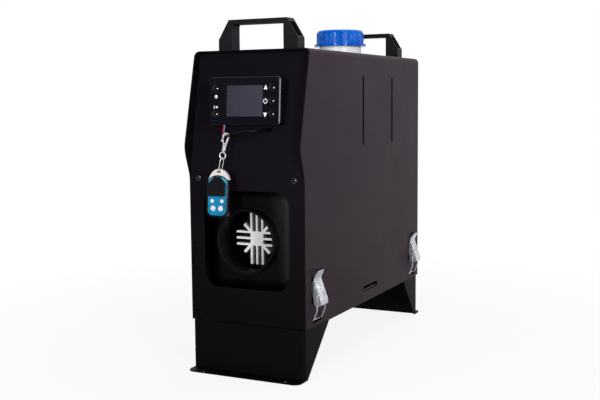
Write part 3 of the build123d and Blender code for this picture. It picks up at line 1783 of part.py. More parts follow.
def wire_points(side):
    """Route of one strand, from the controller's underside through the hook's eye to the sheath."""
    shift = wire_side * side * strand_half_gap
    through = eye + wire_rise + shift
    join_x, join_out, join_drop = wire_join
    return [
        *[
            Vector(wire_exit_x - side * spread + right, front_y - out, wire_start_z - drop)
            for spread, right, out, drop in wire_run
        ],
        Vector(wire_exit_x + join_x, front_y - join_out, wire_start_z - join_drop) + shift,
        through - hook_normal * eye_lead + wire_rise * eye_lead_rise,
        through,
        sheath_start + shift,
    ]


def cable_points():
    """Route of the black sheath, from the two wires to the hole in the panel."""
    hole = cable_plane()
    return [
        sheath_start,
        sheath_start + hook_normal * sheath_lead,
        *[Vector(eye_x + right, front_y - out, eye_z + up) for right, out, up in cable_run],
        hole.origin + hole.z_dir * hole_lead - hole.x_dir * hole_shift,
        hole.origin + hole.z_dir,
        hole.origin - hole.z_dir * sheet * 2,
    ]


def bend_radii(points):
    """A radius for each corner: 0.45 of the shorter run over the tangent of half the turn."""
    radii = []
    for before, corner, after in zip(points, points[1:], points[2:]):
        first = corner - before
        second = after - corner
        turn = radians(first.get_angle(second))
        radii.append(0.45 * min(first.length, second.length) / tan(turn / 2))
    return radii


def make_tubes(routes, diameter):
    """One round tube along each route, and its bend radii in print."""
    with BuildPart() as tubes:
        for points in routes:
            radii = bend_radii(points)
            print("bend radii", [round(r, 1) for r in radii])
            with BuildLine() as path:
                FilletPolyline(*points, radius=radii)
            print("length", round(path.wire().length, 1))
            with BuildSketch(Plane(origin=path.line @ 0, z_dir=path.line % 0)):
                Circle(diameter / 2)
            sweep(path=path.line)
    return tubes.part


def main():
    os.makedirs("parts", exist_ok=True)
    save(make_casing(), "casing_shell")
    save(make_front_panel(), "front_panel")
    save(make_rear_panel(), "rear_panel")
    save(make_tray(), "base_tray")
    save(make_leg(-1, front_leg_depth, latch_ys[0]), "front_leg")
    save(make_leg(1, rear_leg_depth, latch_ys[1]), "rear_leg")
    save(make_handle(handle_ys[0]), "front_handle")
    save(make_handle(handle_ys[1]), "rear_handle")
    save(make_screws(), "casing_screws")
    save(make_latch_brackets(), "latch_brackets")
    save(make_latch_pins(), "latch_pins")
    for name, (side, y) in latches.items():
        save(make_lever(side, y), f"latch_lever_{name}")
        save(make_bail(side, y), f"latch_bail_{name}")
    save(make_tank(), "fuel_tank")
    save(make_cap(), "fuel_cap")
    save(make_gasket(), "cap_gasket")
    save(make_pump(), "fuel_pump")
    save(make_clamp(), "pump_clamp")
    save(make_tubes([tank_hose_points(), pump_hose_points()], hose_diameter), "fuel_hoses")
    save(make_hood(), "outlet_hood")
    save(case_half(True), "heater_case_upper")
    save(case_half(False), "heater_case_lower")
    save(make_exchanger(), "heat_exchanger")
    save(make_pipe(exhaust_setback), "exhaust_pipe")
    save(make_pipe(intake_setback), "intake_pipe")
    save(make_saddle(), "heater_saddle")
    save(make_fan(), "fan_wheel")
    save(make_wheel(), "combustion_wheel")
    save(make_motor(), "blower_motor")
    save(make_board(), "control_board")
    save(make_glow_plug(), "glow_plug")
    save(make_grille(), "inlet_grille")
    save(make_fascia(), "controller_fascia")
    save(make_housing(), "controller_housing")
    save(make_screen(), "controller_screen")
    for name, place in button_places.items():
        save(make_button(place), name)
    save(make_hook(), "hook_body")
    save(make_gate(), "hook_gate")
    save(make_swivel(), "hook_swivel")
    save(make_link(), "key_link")
    save(hang(make_fob_shell()), "fob_shell")
    save(hang(make_fob_arch()), "fob_arch")
    save(hang(make_fob_plate()), "fob_face_plate")
    save(hang(make_fob_cover()), "fob_cover")
    corners = ("left", "right")
    rows = ("upper", "lower")
    for row, (z, half_pitch, radius) in zip(rows, fob_button_rows):
        for corner, side in zip(corners, (-1, 1)):
            button = make_fob_button(side * half_pitch, z, radius)
            save(hang(button), f"fob_button_{row}_{corner}")
    save(make_tubes([cable_points()], sheath_diameter), "controller_cable")
    save(make_tubes([wire_points(-1), wire_points(1)], strand_diameter), "controller_wires")


main()
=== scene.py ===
from math import atan2, cos, pi, radians, sin

import bmesh
import bpy
from mathutils import Matrix, Vector


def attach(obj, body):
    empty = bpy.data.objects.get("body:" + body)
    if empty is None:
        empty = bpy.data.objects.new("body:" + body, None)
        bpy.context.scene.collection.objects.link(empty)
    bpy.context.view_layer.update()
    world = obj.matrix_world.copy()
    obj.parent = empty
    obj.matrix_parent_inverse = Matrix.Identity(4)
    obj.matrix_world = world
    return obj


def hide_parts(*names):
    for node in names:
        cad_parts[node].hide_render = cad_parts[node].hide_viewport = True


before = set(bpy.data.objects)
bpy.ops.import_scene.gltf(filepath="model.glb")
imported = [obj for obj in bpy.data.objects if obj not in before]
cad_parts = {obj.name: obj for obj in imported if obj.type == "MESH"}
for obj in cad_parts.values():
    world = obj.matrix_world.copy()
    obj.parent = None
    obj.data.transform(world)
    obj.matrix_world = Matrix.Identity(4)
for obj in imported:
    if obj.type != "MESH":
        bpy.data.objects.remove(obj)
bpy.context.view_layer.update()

MM = 0.001

# ---------------------------------------------------------------- measures, in mm and degrees
FRONT = -190.0  # face of the lower front panel
PANEL_FOLD = 241.0  # height where the upper front panel starts to lean back
PANEL_TOP = 373.5
PANEL_LEAN = 25.5  # how far back the top of that panel stands
CABLE_HOLE = (29.0, 284.0)  # across and up on that panel
FASCIA_MIDDLE = (2.0, FRONT - 5.0, 317.0)
FASCIA_TILT = 4.0
HOOK_EYE = (-15.5, FRONT - 16.0, 277.5)
HOOK_LEAN, HOOK_YAW = 11.9, 50.0
PUMP_AXIS = 76.0  # height of the fuel pump

SHEATH_THICKNESS = 3.0
SHEATH_GAP = 5.0  # from the eye to the end of the sheath
WIRE_THICKNESS = 1.2
WIRE_OFFSET = 0.7  # from the middle of the pair to each wire
WIRE_LIFT = 1.6  # the wires run this far over the middle of the eye
HOSE_THICKNESS = 4.0

MARK_RISE = 0.06  # printed marks stand this far out of the fascia
MARK_SINK = 0.05  # and reach this far into it

# ---------------------------------------------------------------- finishes
POWDER = dict(rough_swing=0.03, grain=1300.0, grain_depth=0.035, edge_width=0.6)
POLISHED = dict(
    rough=0.16, specular=0.18, coat=0.05, mottle=0.15, mottle_scale=25.0, rough_swing=0.04,
    grain=900.0, grain_depth=0.003, edge_width=0.35,
)
INSULATION = dict(rough=0.35, mottle=0.15, mottle_scale=300.0, grain=2000.0, grain_depth=0.005)

FINISHES = {
    "powder": dict(
        name="powder_coat_black", color=(0.0178, 0.009, 0.0162), rough=0.55, specular=0.15,
        mottle=0.08, mottle_scale=7.0, edge=(0.045, 0.036, 0.044), sheen=(1.0, 0.75, 0.95),
        # Painted shade: the fade darkens the coat towards the bottom and the front.
        fade=((0.0, -0.45, -0.89), -330.0, -30.0, (0.0095, 0.004, 0.0085)),
        # Painted shade: faces looking forward at the front, and right-facing faces on the left,
        # are darker.
        flank=(
            ((0.0, -1.0, 0.0), (0.0, -1.0, 0.0), 160.0, (0.0022, 0.0015, 0.0025)),
            ((1.0, 0.0, 0.0), (-1.0, 0.0, 0.0), 60.0, (0.002, 0.0014, 0.0022)),
        ),
        **POWDER,
    ),
    # A darker copy of the black powder coat for the front panel and the legs: painted shade. Its
    # fade darkens it further towards the bottom, more painted shade.
    "powder_front": dict(
        name="powder_coat_front_painted_shade", color=(0.0046, 0.0034, 0.0058), rough=0.5, specular=0.05,
        mottle=0.1, mottle_scale=8.0, edge=(0.018, 0.017, 0.02),
        fade=((0.0, 0.0, -1.0), -250.0, -60.0, (0.0018, 0.0012, 0.002)),
        **POWDER,
    ),
    # A darker copy of the black powder coat for the handles: painted shade.
    "powder_handle": dict(
        name="powder_coat_handle_painted_shade", color=(0.008, 0.007, 0.0095), rough=0.5, specular=0.1,
        mottle=0.1, mottle_scale=20.0, edge=(0.03, 0.028, 0.034),
        **POWDER,
    ),
    "zinc": dict(
        name="zinc_plate", color=(0.52, 0.54, 0.59), tint=(0.62, 0.64, 0.69), rough=0.3, metal=0.9,
        mottle=0.1, mottle_scale=70.0, rough_swing=0.04, grain=900.0, grain_depth=0.002,
        # The dark edge colour is painted shade along the edges and in the grooves of the lever.
        stretch=(1.0, 1.0, 0.06), edge=(0.13, 0.14, 0.16), edge_width=0.45,
    ),
    "screw": dict(
        name="black_oxide", color=(0.006, 0.006, 0.007), rough=0.2, specular=1.0, coat=0.5,
        mottle=0.2, mottle_scale=200.0, grain=2500.0, grain_depth=0.004,
        edge=(0.03, 0.03, 0.03), edge_width=0.25,
    ),
    "tank": dict(
        name="natural_polyethylene", color=(0.78, 0.79, 0.8), rough=0.42,
        mottle=0.05, mottle_scale=30.0, grain=700.0, grain_depth=0.03, edge_width=0.8,
    ),
    "cap": dict(
        name="cap_blue", color=(0.0, 0.085, 0.47), tint=(0.0, 0.105, 0.53), rough=0.13,
        specular=0.12, mottle=0.1, mottle_scale=60.0, rough_swing=0.02, grain=1800.0,
        grain_depth=0.002, edge=(0.001, 0.14, 0.6), edge_width=0.4,
    ),
    "rubber": dict(
        name="rubber_black", color=(0.016, 0.016, 0.017), rough=0.62, specular=0.3,
        mottle=0.25, mottle_scale=80.0, grain=1600.0, grain_depth=0.03,
    ),
    "pump": dict(
        name="turned_steel", color=(0.5, 0.5, 0.51), rough=0.3, metal=1.0,
        mottle=0.12, mottle_scale=60.0, grain=1400.0, grain_depth=0.012,
        stretch=(0.05, 1.0, 0.05), edge=(0.75, 0.75, 0.76),
    ),
    "moulded": dict(
        name="spark_textured_plastic", color=(0.001, 0.0009, 0.001), rough=0.42, specular=0.09,
        mottle=0.12, mottle_scale=20.0, grain=1100.0, grain_depth=0.04,
        # The lighter edge colour is a painted highlight on the rims, and the fade paints a
        # highlight towards the right.
        edge=(0.034, 0.031, 0.033), edge_width=0.7,
        fade=((1.0, 0.0, 0.14), 52.0, 82.0, (0.018, 0.0165, 0.02)),
    ),
    "cast": dict(
        name="cast_alloy", color=(0.72, 0.68, 0.72), rough=0.58, metal=0.1,
        mottle=0.08, mottle_scale=90.0, rough_swing=0.08, grain=1500.0, grain_depth=0.09,
        edge=(0.86, 0.83, 0.87), edge_width=0.5, pits=(420.0, (0.55, 0.52, 0.55)),
        # Painted shade: the fade darkens what lies deeper in the duct than the front fins.
        fade=((0.0, 1.0, 0.0), -164.5, -155.0, (0.005, 0.004, 0.005)),
    ),
    "alloy": dict(
        name="turned_alloy", color=(0.6, 0.59, 0.61), rough=0.5, metal=0.6,
        mottle=0.1, mottle_scale=90.0, grain=1500.0, grain_depth=0.06,
        edge=(0.8, 0.79, 0.81), edge_width=0.5,
    ),
    # The latch brackets are near black so the latch windows read dark: painted shade.
    "bracket": dict(
        name="latch_bracket_painted_shade", color=(0.008, 0.008, 0.009), rough=0.4, metal=0.3, specular=0.3,
        mottle=0.2, mottle_scale=60.0, grain=1400.0, grain_depth=0.02,
        edge=(0.03, 0.03, 0.032), edge_width=0.3,
    ),
    "pipe": dict(
        name="drawn_steel", color=(0.55, 0.53, 0.5), tint=(0.52, 0.47, 0.42), rough=0.33,
        metal=1.0, mottle=0.18, mottle_scale=40.0, grain=1200.0, grain_depth=0.012,
        stretch=(1.0, 1.0, 0.05),
    ),
    "board": dict(
        name="solder_mask_green", color=(0.012, 0.13, 0.05), rough=0.3, coat=0.4,
        mottle=0.2, mottle_scale=120.0, grain=900.0, grain_depth=0.03,
        pits=(380.0, (0.6, 0.5, 0.25)),
    ),
    "fan": dict(
        name="fan_plastic", color=(0.05, 0.05, 0.055), rough=0.45,
        mottle=0.12, mottle_scale=60.0, grain=1400.0, grain_depth=0.03,
        edge=(0.1, 0.1, 0.11), edge_width=0.4,
    ),
    "gloss": dict(
        name="polished_black", color=(0.004, 0.0032, 0.007), edge=(0.012, 0.011, 0.015),
        **POLISHED,
    ),
    "fascia": dict(
        name="polished_fascia", color=(0.0036, 0.003, 0.006), edge=(0.009, 0.008, 0.011),
        # Painted highlight: a light grey line on the right-facing edge of the fascia.
        flank=(((1.0, 0.0, 0.0), (1.0, 0.0, 0.0), 38.0, (0.36, 0.35, 0.37)),),
        **POLISHED,
    ),
    "shell": dict(
        name="textured_black", color=(0.003, 0.0026, 0.004), rough=0.4, specular=0.12,
        mottle=0.15, mottle_scale=30.0, grain=1500.0, grain_depth=0.04,
        edge=(0.018, 0.018, 0.02), edge_width=0.4,
    ),
    "button": dict(
        name="button_black", color=(0.0028, 0.0024, 0.0034), rough=0.1, specular=0.45,
        coat=0.5, coat_rough=0.06, mottle=0.15, mottle_scale=150.0, rough_swing=0.03,
        grain=1500.0, grain_depth=0.001, edge=(0.012, 0.012, 0.014), edge_width=0.3,
    ),
    "chrome": dict(
        name="polished_chrome", color=(0.86, 0.84, 0.84), rough=0.16, metal=0.6,
        mottle=0.1, mottle_scale=160.0, grain=1800.0, grain_depth=0.004,
        edge=(0.96, 0.94, 0.94), edge_width=0.2,
    ),
    "arch": dict(
        name="arch_chrome", color=(0.88, 0.79, 0.79), rough=0.24, metal=0.35,
        mottle=0.08, mottle_scale=120.0, grain=1600.0, grain_depth=0.004,
        edge=(0.97, 0.91, 0.91), edge_width=0.25,
    ),
    "cyan": dict(
        name="plate_cyan", color=(0.001, 0.13, 0.27), tint=(0.003, 0.18, 0.33), rough=0.35,
        specular=0.2, mottle=0.16, mottle_scale=110.0, grain=1700.0, grain_depth=0.008,
        edge=(0.03, 0.3, 0.46), edge_width=0.3,
        fade=((0.0, 0.0, 1.0), 222.0, 232.0, (0.06, 0.42, 0.62)),
    ),
    "silver": dict(
        name="pale_silver_button", color=(0.6, 0.61, 0.66), rough=0.35, metal=0.1,
        mottle=0.1, mottle_scale=200.0, grain=1600.0, grain_depth=0.01,
        edge=(0.9, 0.9, 0.93), edge_width=0.4,
    ),
    "cover": dict(
        name="cover_smoke", color=(0.006, 0.0055, 0.0065), rough=0.3, specular=0.18,
        coat=0.05, coat_rough=0.15, mottle=0.25, mottle_scale=70.0, grain=1500.0,
        grain_depth=0.005, edge=(0.035, 0.033, 0.035), edge_width=0.5,
    ),
    "sheath": dict(
        name="cable_sheath", color=(0.0015, 0.0015, 0.0018), rough=0.35, specular=0.08,
        mottle=0.2, mottle_scale=250.0, grain=2000.0, grain_depth=0.01,
    ),
    "red": dict(name="insulation_red", color=(0.52, 0.02, 0.035), **INSULATION),
    "lilac": dict(name="insulation_lilac", color=(0.23, 0.19, 0.5), **INSULATION),
    "symbol": dict(
        name="printed_white", color=(0.86, 0.86, 0.88), rough=0.5,
        mottle=0.05, mottle_scale=300.0, grain=2500.0, grain_depth=0.002,
    ),
    "screen": dict(
        name="display_window", color=(0.036, 0.033, 0.051), rough=0.25, specular=0.15,
        coat=0.1, coat_rough=0.1, mottle=0.05, mottle_scale=20.0, grain=500.0, grain_depth=0.002,
    ),
}

# The CAD nodes that wear each finish.
DRESSED = {
    "powder": ["casing_shell", "base_tray", "rear_panel", "heater_saddle"],
    "powder_front": ["front_panel", "front_leg", "rear_leg"],
    "powder_handle": ["front_handle", "rear_handle"],
    "screw": ["casing_screws"],
    "bracket": ["latch_brackets"],
    "zinc": ["latch_pins"] + [
        f"latch_{part}_{end}_{side}"
        for end in ("front", "rear") for side in ("right", "left") for part in ("lever", "bail")
    ],
    "tank": ["fuel_tank"],
    "cap": ["fuel_cap"],
    "rubber": ["cap_gasket", "pump_clamp"],
    "pump": ["fuel_pump"],
    "moulded": ["outlet_hood", "heater_case_upper", "heater_case_lower", "inlet_grille"],
    "cast": ["heat_exchanger"],
    "alloy": ["blower_motor", "combustion_wheel"],
    "pipe": ["exhaust_pipe", "intake_pipe", "glow_plug"],
    "board": ["control_board"],
    "fan": ["fan_wheel"],
    "fascia": ["controller_fascia"],
    "shell": ["controller_housing"],
    "screen": ["controller_screen"],
    "button": [f"{use}_button" for use in ("menu", "set", "up", "power", "down")],
    "chrome": ["hook_body", "hook_gate", "hook_swivel", "key_link"],
    "gloss": ["fob_shell"],
    "cover": ["fob_cover"],
    "arch": ["fob_arch"],
    "cyan": ["fob_face_plate"],
    "silver": [
        f"fob_button_{row}_{side}" for row in ("upper", "lower") for side in ("left", "right")
    ],
}


# ---------------------------------------------------------------- camera
def make_camera():
    place = (0.531975, -1.135121, 0.318453)
    yaw, pitch, roll = radians(26.103), radians(6.041), radians(-0.507)
    ahead = Vector((-sin(yaw) * cos(pitch), cos(yaw) * cos(pitch), -sin(pitch)))
    right = Vector((cos(yaw), sin(yaw), 0.0))
    up = right.cross(ahead)
    right, up = right * cos(roll) + up * sin(roll), up * cos(roll) - right * sin(roll)
    data = bpy.data.cameras.new("camera")
    data.lens = 57.218
    data.sensor_width = 36.0
    data.sensor_fit = "HORIZONTAL"
    camera = bpy.data.objects.new("camera", data)
    turn = Matrix((right, up, -ahead)).transposed().to_4x4()
    camera.matrix_world = Matrix.Translation(place) @ turn
    bpy.context.collection.objects.link(camera)
    bpy.context.scene.camera = camera


# ---------------------------------------------------------------- shader nodes
def add(tree, kind, **values):
    node = tree.nodes.new(kind)
    for key, value in values.items():
        setattr(node, key, value)
    return node


def feed(tree, value, socket):
    """Link another node's output to a socket, or set the socket to a number, vector or colour."""
    if isinstance(value, bpy.types.NodeSocket):
        tree.links.new(value, socket)
    elif socket.type == "RGBA":
        socket.default_value = (*value, 1.0)
    else:
        socket.default_value = value


def calculate(tree, operation, first, second, clamp=False):
    node = add(tree, "ShaderNodeMath", operation=operation, use_clamp=clamp)
    feed(tree, first, node.inputs[0])
    feed(tree, second, node.inputs[1])
    return node.outputs["Value"]


def dot(tree, first, second):
    node = add(tree, "ShaderNodeVectorMath", operation="DOT_PRODUCT")
    feed(tree, first, node.inputs[0])
    feed(tree, second, node.inputs[1])
    return node.outputs["Value"]


def ramp(tree, source, low, high, to_low=0.0, to_high=1.0):
    node = add(tree, "ShaderNodeMapRange", clamp=True)
    for socket, value in (
        ("Value", source), ("From Min", low), ("From Max", high),
        ("To Min", to_low), ("To Max", to_high),
    ):
        feed(tree, value, node.inputs[socket])
    return node.outputs["Result"]


def noise(tree, place, scale, detail=3.0, rough=0.55, stretch=(1.0, 1.0, 1.0)):
    mapping = add(tree, "ShaderNodeMapping")
    feed(tree, stretch, mapping.inputs["Scale"])
    feed(tree, place, mapping.inputs["Vector"])
    node = add(tree, "ShaderNodeTexNoise")
    feed(tree, mapping.outputs["Vector"], node.inputs["Vector"])
    feed(tree, scale, node.inputs["Scale"])
    feed(tree, detail, node.inputs["Detail"])
    feed(tree, rough, node.inputs["Roughness"])
    return node.outputs["Fac"]


def blend_color(tree, factor, first, second):
    node = add(tree, "ShaderNodeMix", data_type="RGBA", clamp_factor=True)
    feed(tree, factor, node.inputs["Factor"])
    # The node has sockets A and B for numbers and vectors too.
    for name, value in (("A", first), ("B", second)):
        feed(tree, value, [s for s in node.inputs if s.name == name and s.type == "RGBA"][0])
    return [s for s in node.outputs if s.type == "RGBA"][0]


def object_place(tree):
    return add(tree, "ShaderNodeTexCoord").outputs["Object"]


def split(tree, vector):
    node = add(tree, "ShaderNodeSeparateXYZ")
    feed(tree, vector, node.inputs["Vector"])
    return node.outputs


# ---------------------------------------------------------------- surfaces
NOISE_RANGE = (0.3, 0.7)  # where the values of a noise mostly lie
EDGE_COSINES = (0.995, 0.86)  # between the face and its rounded edge: none of the edge colour, all of it
EDGE_PATCH_SCALE, EDGE_PATCH_RANGE, LEAST_EDGE_PATCH = 60.0, (0.42, 0.62), 0.15
PIT_RADII = (0.05, 0.16)  # in cells: all pit, no pit
FACING_COSINES = (0.6, 0.9)  # between a face and a flank's normal: none of its colour, all of it
GLOSS_TO_MOTTLE = 3.1  # the gloss varies on a finer scale than the tone


def surface(
    name, color, rough, metal=0.0, specular=0.5, coat=0.0, coat_rough=0.05, mottle=0.12,
    mottle_scale=14.0, rough_swing=0.05, grain=1400.0, grain_depth=0.02,
    stretch=(1.0, 1.0, 1.0), edge=None, edge_width=0.5, tint=None, pits=None, sheen=None,
    fade=None, flank=(),
):
    """A worn, uneven surface: cloudy tone, uneven gloss, fine relief, and rounded edges with a
    colour of their own that is partly wear and partly painted light: a painted highlight on dark
    finishes, painted shade on zinc.

    The tone goes between color and tint. edge is the colour of the rounded edges, laid on in
    patches: partly rubbed wear, partly a painted highlight on the dark finishes and painted shade
    on zinc. pits gives the scale and colour of small spots, and sheen tints the reflection. fade
    is a direction, where along it the change starts and ends, and the colour it ends in; on the
    powder coats, the moulded plastic and the cast alloy it paints shade and highlights. Each flank
    is a normal, a direction, a place along it and a colour, which faces that look along the normal
    have beyond that place; here it paints shade on the powder coat and a highlight on the fascia.
    Lengths are in mm.
    """
    material = bpy.data.materials.new(name)
    material.use_nodes = True
    tree = material.node_tree
    shader = tree.nodes["Principled BSDF"]
    place = object_place(tree)
    normal = add(tree, "ShaderNodeNewGeometry").outputs["Normal"]
    rounded = add(tree, "ShaderNodeBevel", samples=4)
    feed(tree, edge_width * MM, rounded.inputs["Radius"])

    cloud = noise(tree, place, mottle_scale, detail=4.0)
    dark = tuple(c * (1 - mottle) for c in color)
    light = tuple(min(1.0, c * (1 + mottle)) for c in (tint or color))
    base = blend_color(tree, ramp(tree, cloud, *NOISE_RANGE), dark, light)
    # Rounded edges take the edge colour in patches: partly wear, partly a painted highlight on
    # dark finishes and painted shade on zinc.
    if edge:
        edge_band = ramp(tree, dot(tree, rounded.outputs["Normal"], normal), *EDGE_COSINES)
        patch = ramp(tree, noise(tree, place, EDGE_PATCH_SCALE, detail=5.0), *EDGE_PATCH_RANGE, LEAST_EDGE_PATCH)
        base = blend_color(tree, calculate(tree, "MULTIPLY", edge_band, patch), base, edge)
    if pits:
        scale, tone = pits
        spots = add(tree, "ShaderNodeTexVoronoi", feature="F1")
        feed(tree, scale, spots.inputs["Scale"])
        feed(tree, place, spots.inputs["Vector"])
        base = blend_color(
            tree, ramp(tree, spots.outputs["Distance"], *PIT_RADII, 1.0, 0.0), base, tone)
    # The fade paints light along a direction: shade on the powder coats and deep in the cast duct,
    # a highlight towards the right on the moulded plastic.
    if fade:
        direction, start, end, tone = fade
        reach = ramp(tree, dot(tree, place, direction), start * MM, end * MM)
        base = blend_color(tree, reach, base, tone)
    # Faces that look one way take another colour: painted shade on the powder coat's front and
    # inner faces, a painted highlight on the fascia's right edge.
    for facing, direction, start, tone in flank:
        faces = ramp(tree, dot(tree, normal, facing), *FACING_COSINES)
        beyond = ramp(tree, dot(tree, place, direction), start * MM, (start + 1) * MM)
        base = blend_color(tree, calculate(tree, "MULTIPLY", faces, beyond), base, tone)
    feed(tree, base, shader.inputs["Base Color"])

    shine = noise(tree, place, mottle_scale * GLOSS_TO_MOTTLE, rough=0.6)
    gloss = ramp(tree, shine, *NOISE_RANGE, rough - rough_swing, rough + rough_swing)
    feed(tree, gloss, shader.inputs["Roughness"])
    bumps = noise(tree, place, grain, detail=2.0, rough=0.5, stretch=stretch)
    relief = add(tree, "ShaderNodeBump")
    feed(tree, 1.0, relief.inputs["Strength"])
    feed(tree, grain_depth * MM, relief.inputs["Distance"])
    feed(tree, bumps, relief.inputs["Height"])
    feed(tree, rounded.outputs["Normal"], relief.inputs["Normal"])
    feed(tree, relief.outputs["Normal"], shader.inputs["Normal"])
    feed(tree, metal, shader.inputs["Metallic"])
    feed(tree, specular, shader.inputs["Specular IOR Level"])
    feed(tree, coat, shader.inputs["Coat Weight"])
    feed(tree, coat_rough, shader.inputs["Coat Roughness"])
    if sheen:
        feed(tree, sheen, shader.inputs["Specular Tint"])
    return material


def line_screen(material):
    """A display window's colour: a little lighter to the right, a painted highlight, and faintly
    lined.
    """
    tree = material.node_tree
    place = object_place(tree)
    # Lighter to the right: a painted highlight.
    across = ramp(tree, split(tree, place)["X"], -20 * MM, 25 * MM)
    tone = blend_color(tree, across, (0.03, 0.027, 0.043), (0.038, 0.035, 0.056))
    lines = add(tree, "ShaderNodeTexWave", wave_type="BANDS", bands_direction="Z")
    feed(tree, place, lines.inputs["Vector"])
    feed(tree, 420.0, lines.inputs["Scale"])
    faint = ramp(tree, lines.outputs["Fac"], 0.0, 1.0, 0.0, 0.12)
    lined = blend_color(tree, faint, tone, (0.024, 0.022, 0.035))
    feed(tree, lined, tree.nodes["Principled BSDF"].inputs["Base Color"])


def make_finishes():
    finishes = {key: surface(**values) for key, values in FINISHES.items()}
    line_screen(finishes["screen"])
    return finishes


def dress(names, material):
    for name in names:
        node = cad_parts[name]
        if not node.material_slots:
            node.data.materials.append(material)
        for place in node.material_slots:
            place.material = material


# ---------------------------------------------------------------- cords
def sheath_route(end, hook_normal):
    """From the end beside the hook's eye to the hole in the upper front panel."""
    slope = PANEL_LEAN / (PANEL_TOP - PANEL_FOLD)
    lean_back = atan2(PANEL_LEAN, PANEL_TOP - PANEL_FOLD)
    hole_out = Vector((0.0, -cos(lean_back), sin(lean_back)))
    hole_right, hole_up = CABLE_HOLE
    hole = Vector((hole_right, FRONT + (hole_up - PANEL_FOLD) * slope, hole_up))
    eye_right, _, eye_up = HOOK_EYE
    route = [end, end + hook_normal * 6.4]
    for right, forward, up in (
        (14.5, 25.5, 2.3), (23.0, 23.5, 4.7), (32.0, 18.0, 5.5), (39.5, 11.0, 6.5),
    ):
        route.append(Vector((eye_right + right, FRONT - forward, eye_up + up)))
    return route + [
        hole + hole_out * 7 - Vector((1.0, 0.0, 0.0)), hole + hole_out, hole - hole_out * 3,
    ]


def wire_route(side, sheath_end, hook_normal, wire_rise, wire_side):
    """From the bottom of the controller, through the hook's eye, to the end of the sheath."""
    shift = wire_side * side * WIRE_OFFSET
    through = Vector(HOOK_EYE) + wire_rise + shift
    return [
        Vector((-27.0 - WIRE_OFFSET * side, FRONT + 0.5, 292.0)),
        Vector((-27.0 - WIRE_OFFSET * side, FRONT + 0.5, 288.2)),
        Vector((-26.7 - 0.5 * side, FRONT - 1.4, 284.3)),
        Vector((-25.2, FRONT - 5.8, 281.2)) + shift,
        through - hook_normal * 5.5 + wire_rise * 0.3,
        through,
        sheath_end + shift,
    ]


def hose_route(points):
    """Points given as across, back from the front panel, and up from the fuel pump."""
    return [Vector((x, FRONT + back, PUMP_AXIS + up)) for x, back, up in points]


def make_cords(finishes):
    lean, yaw = radians(HOOK_LEAN), radians(HOOK_YAW)
    across = Vector((cos(lean), 0.0, -sin(lean)))
    rise = Vector((sin(lean), 0.0, cos(lean)))
    hook_normal = across * sin(yaw) - Vector((0.0, cos(yaw), 0.0))
    wire_side = hook_normal.cross(rise)
    wire_rise = rise * WIRE_LIFT
    sheath_end = Vector(HOOK_EYE) + wire_rise * 1.2 + hook_normal * SHEATH_GAP
    tank_hose = hose_route((
        (32.0, 35.0, 170.0), (32.0, 24.0, 169.5), (37.0, 15.0, 165.0), (46.0, 12.0, 156.5),
        (56.0, 15.0, 145.0), (63.5, 20.0, 130.0), (66.6, 25.0, 112.0), (66.6, 28.0, 90.0),
        (65.0, 29.0, 68.0), (63.0, 29.5, 48.0), (60.5, 30.5, 29.0), (53.5, 34.0, 14.0),
        (44.0, 41.0, 5.0), (34.5, 50.0, 1.0), (27.0, 60.5, 0.0), (24.0, 71.5, 0.0),
        (24.0, 81.0, 0.0),
    ))
    pump_hose = hose_route((
        (24.0, 191.0, 0.0), (24.0, 201.0, 0.0), (24.0, 210.0, 5.2), (24.0, 215.2, 14.2),
        (24.0, 215.2, 25.0),
    ))
    routes = [
        ("lead_sheath", "controller_cable", "cable_black", "sheath",
         sheath_route(sheath_end, hook_normal), SHEATH_THICKNESS, 65.2),
    ]
    for side, tone, length in ((1, "red", 33.3), (-1, "lilac", 32.6)):
        route = wire_route(side, sheath_end, hook_normal, wire_rise, wire_side)
        routes.append((f"lead_{tone}", "controller_wires", "wire_red", tone,
                       route, WIRE_THICKNESS, length))
    for name, route, length in (("hose_tank", tank_hose, 247.9), ("hose_pump", pump_hose, 41.0)):
        routes.append((name, "fuel_hoses", "rubber_black", "rubber",
                       route, HOSE_THICKNESS, length))
    for name, node, slot, finish, points, diameter, length in routes:
        points = [p * MM for p in points]
        piece = cord_curve(name, points, diameter * MM, finishes[finish])
        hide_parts(node)
        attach(piece, "casing")


def cord_curve(name, points, diameter, material):
    curve = bpy.data.curves.new(name, "CURVE")
    curve.dimensions = "3D"
    spline = curve.splines.new("NURBS")
    spline.points.add(len(points) - 1)
    for target, point in zip(spline.points, points):
        target.co = (*point, 1.0)
    spline.order_u = 3
    spline.use_endpoint_u = True
    curve.resolution_u = 16
    curve.bevel_depth = diameter / 2
    curve.bevel_resolution = 6
    curve.use_fill_caps = True
    curve.materials.append(material)
    piece = bpy.data.objects.new(name, curve)
    bpy.context.collection.objects.link(piece)
    return piece


# ---------------------------------------------------------------- printed symbols
def arc_band(radius, width, start, end, steps=24):
    angles = [radians(start + (end - start) * i / steps) for i in range(steps + 1)]
    outer = [((radius + width / 2) * cos(a), (radius + width / 2) * sin(a)) for a in angles]
    inner = [((radius - width / 2) * cos(a), (radius - width / 2) * sin(a)) for a in angles]
    return outer + inner[::-1]


def disc(x, y, radius, steps=24):
    angles = [2 * pi * i / steps for i in range(steps)]
    return [(x + radius * cos(a), y + radius * sin(a)) for a in angles]


def moved(outline, x, y):
    return [(px + x, py + y) for px, py in outline]


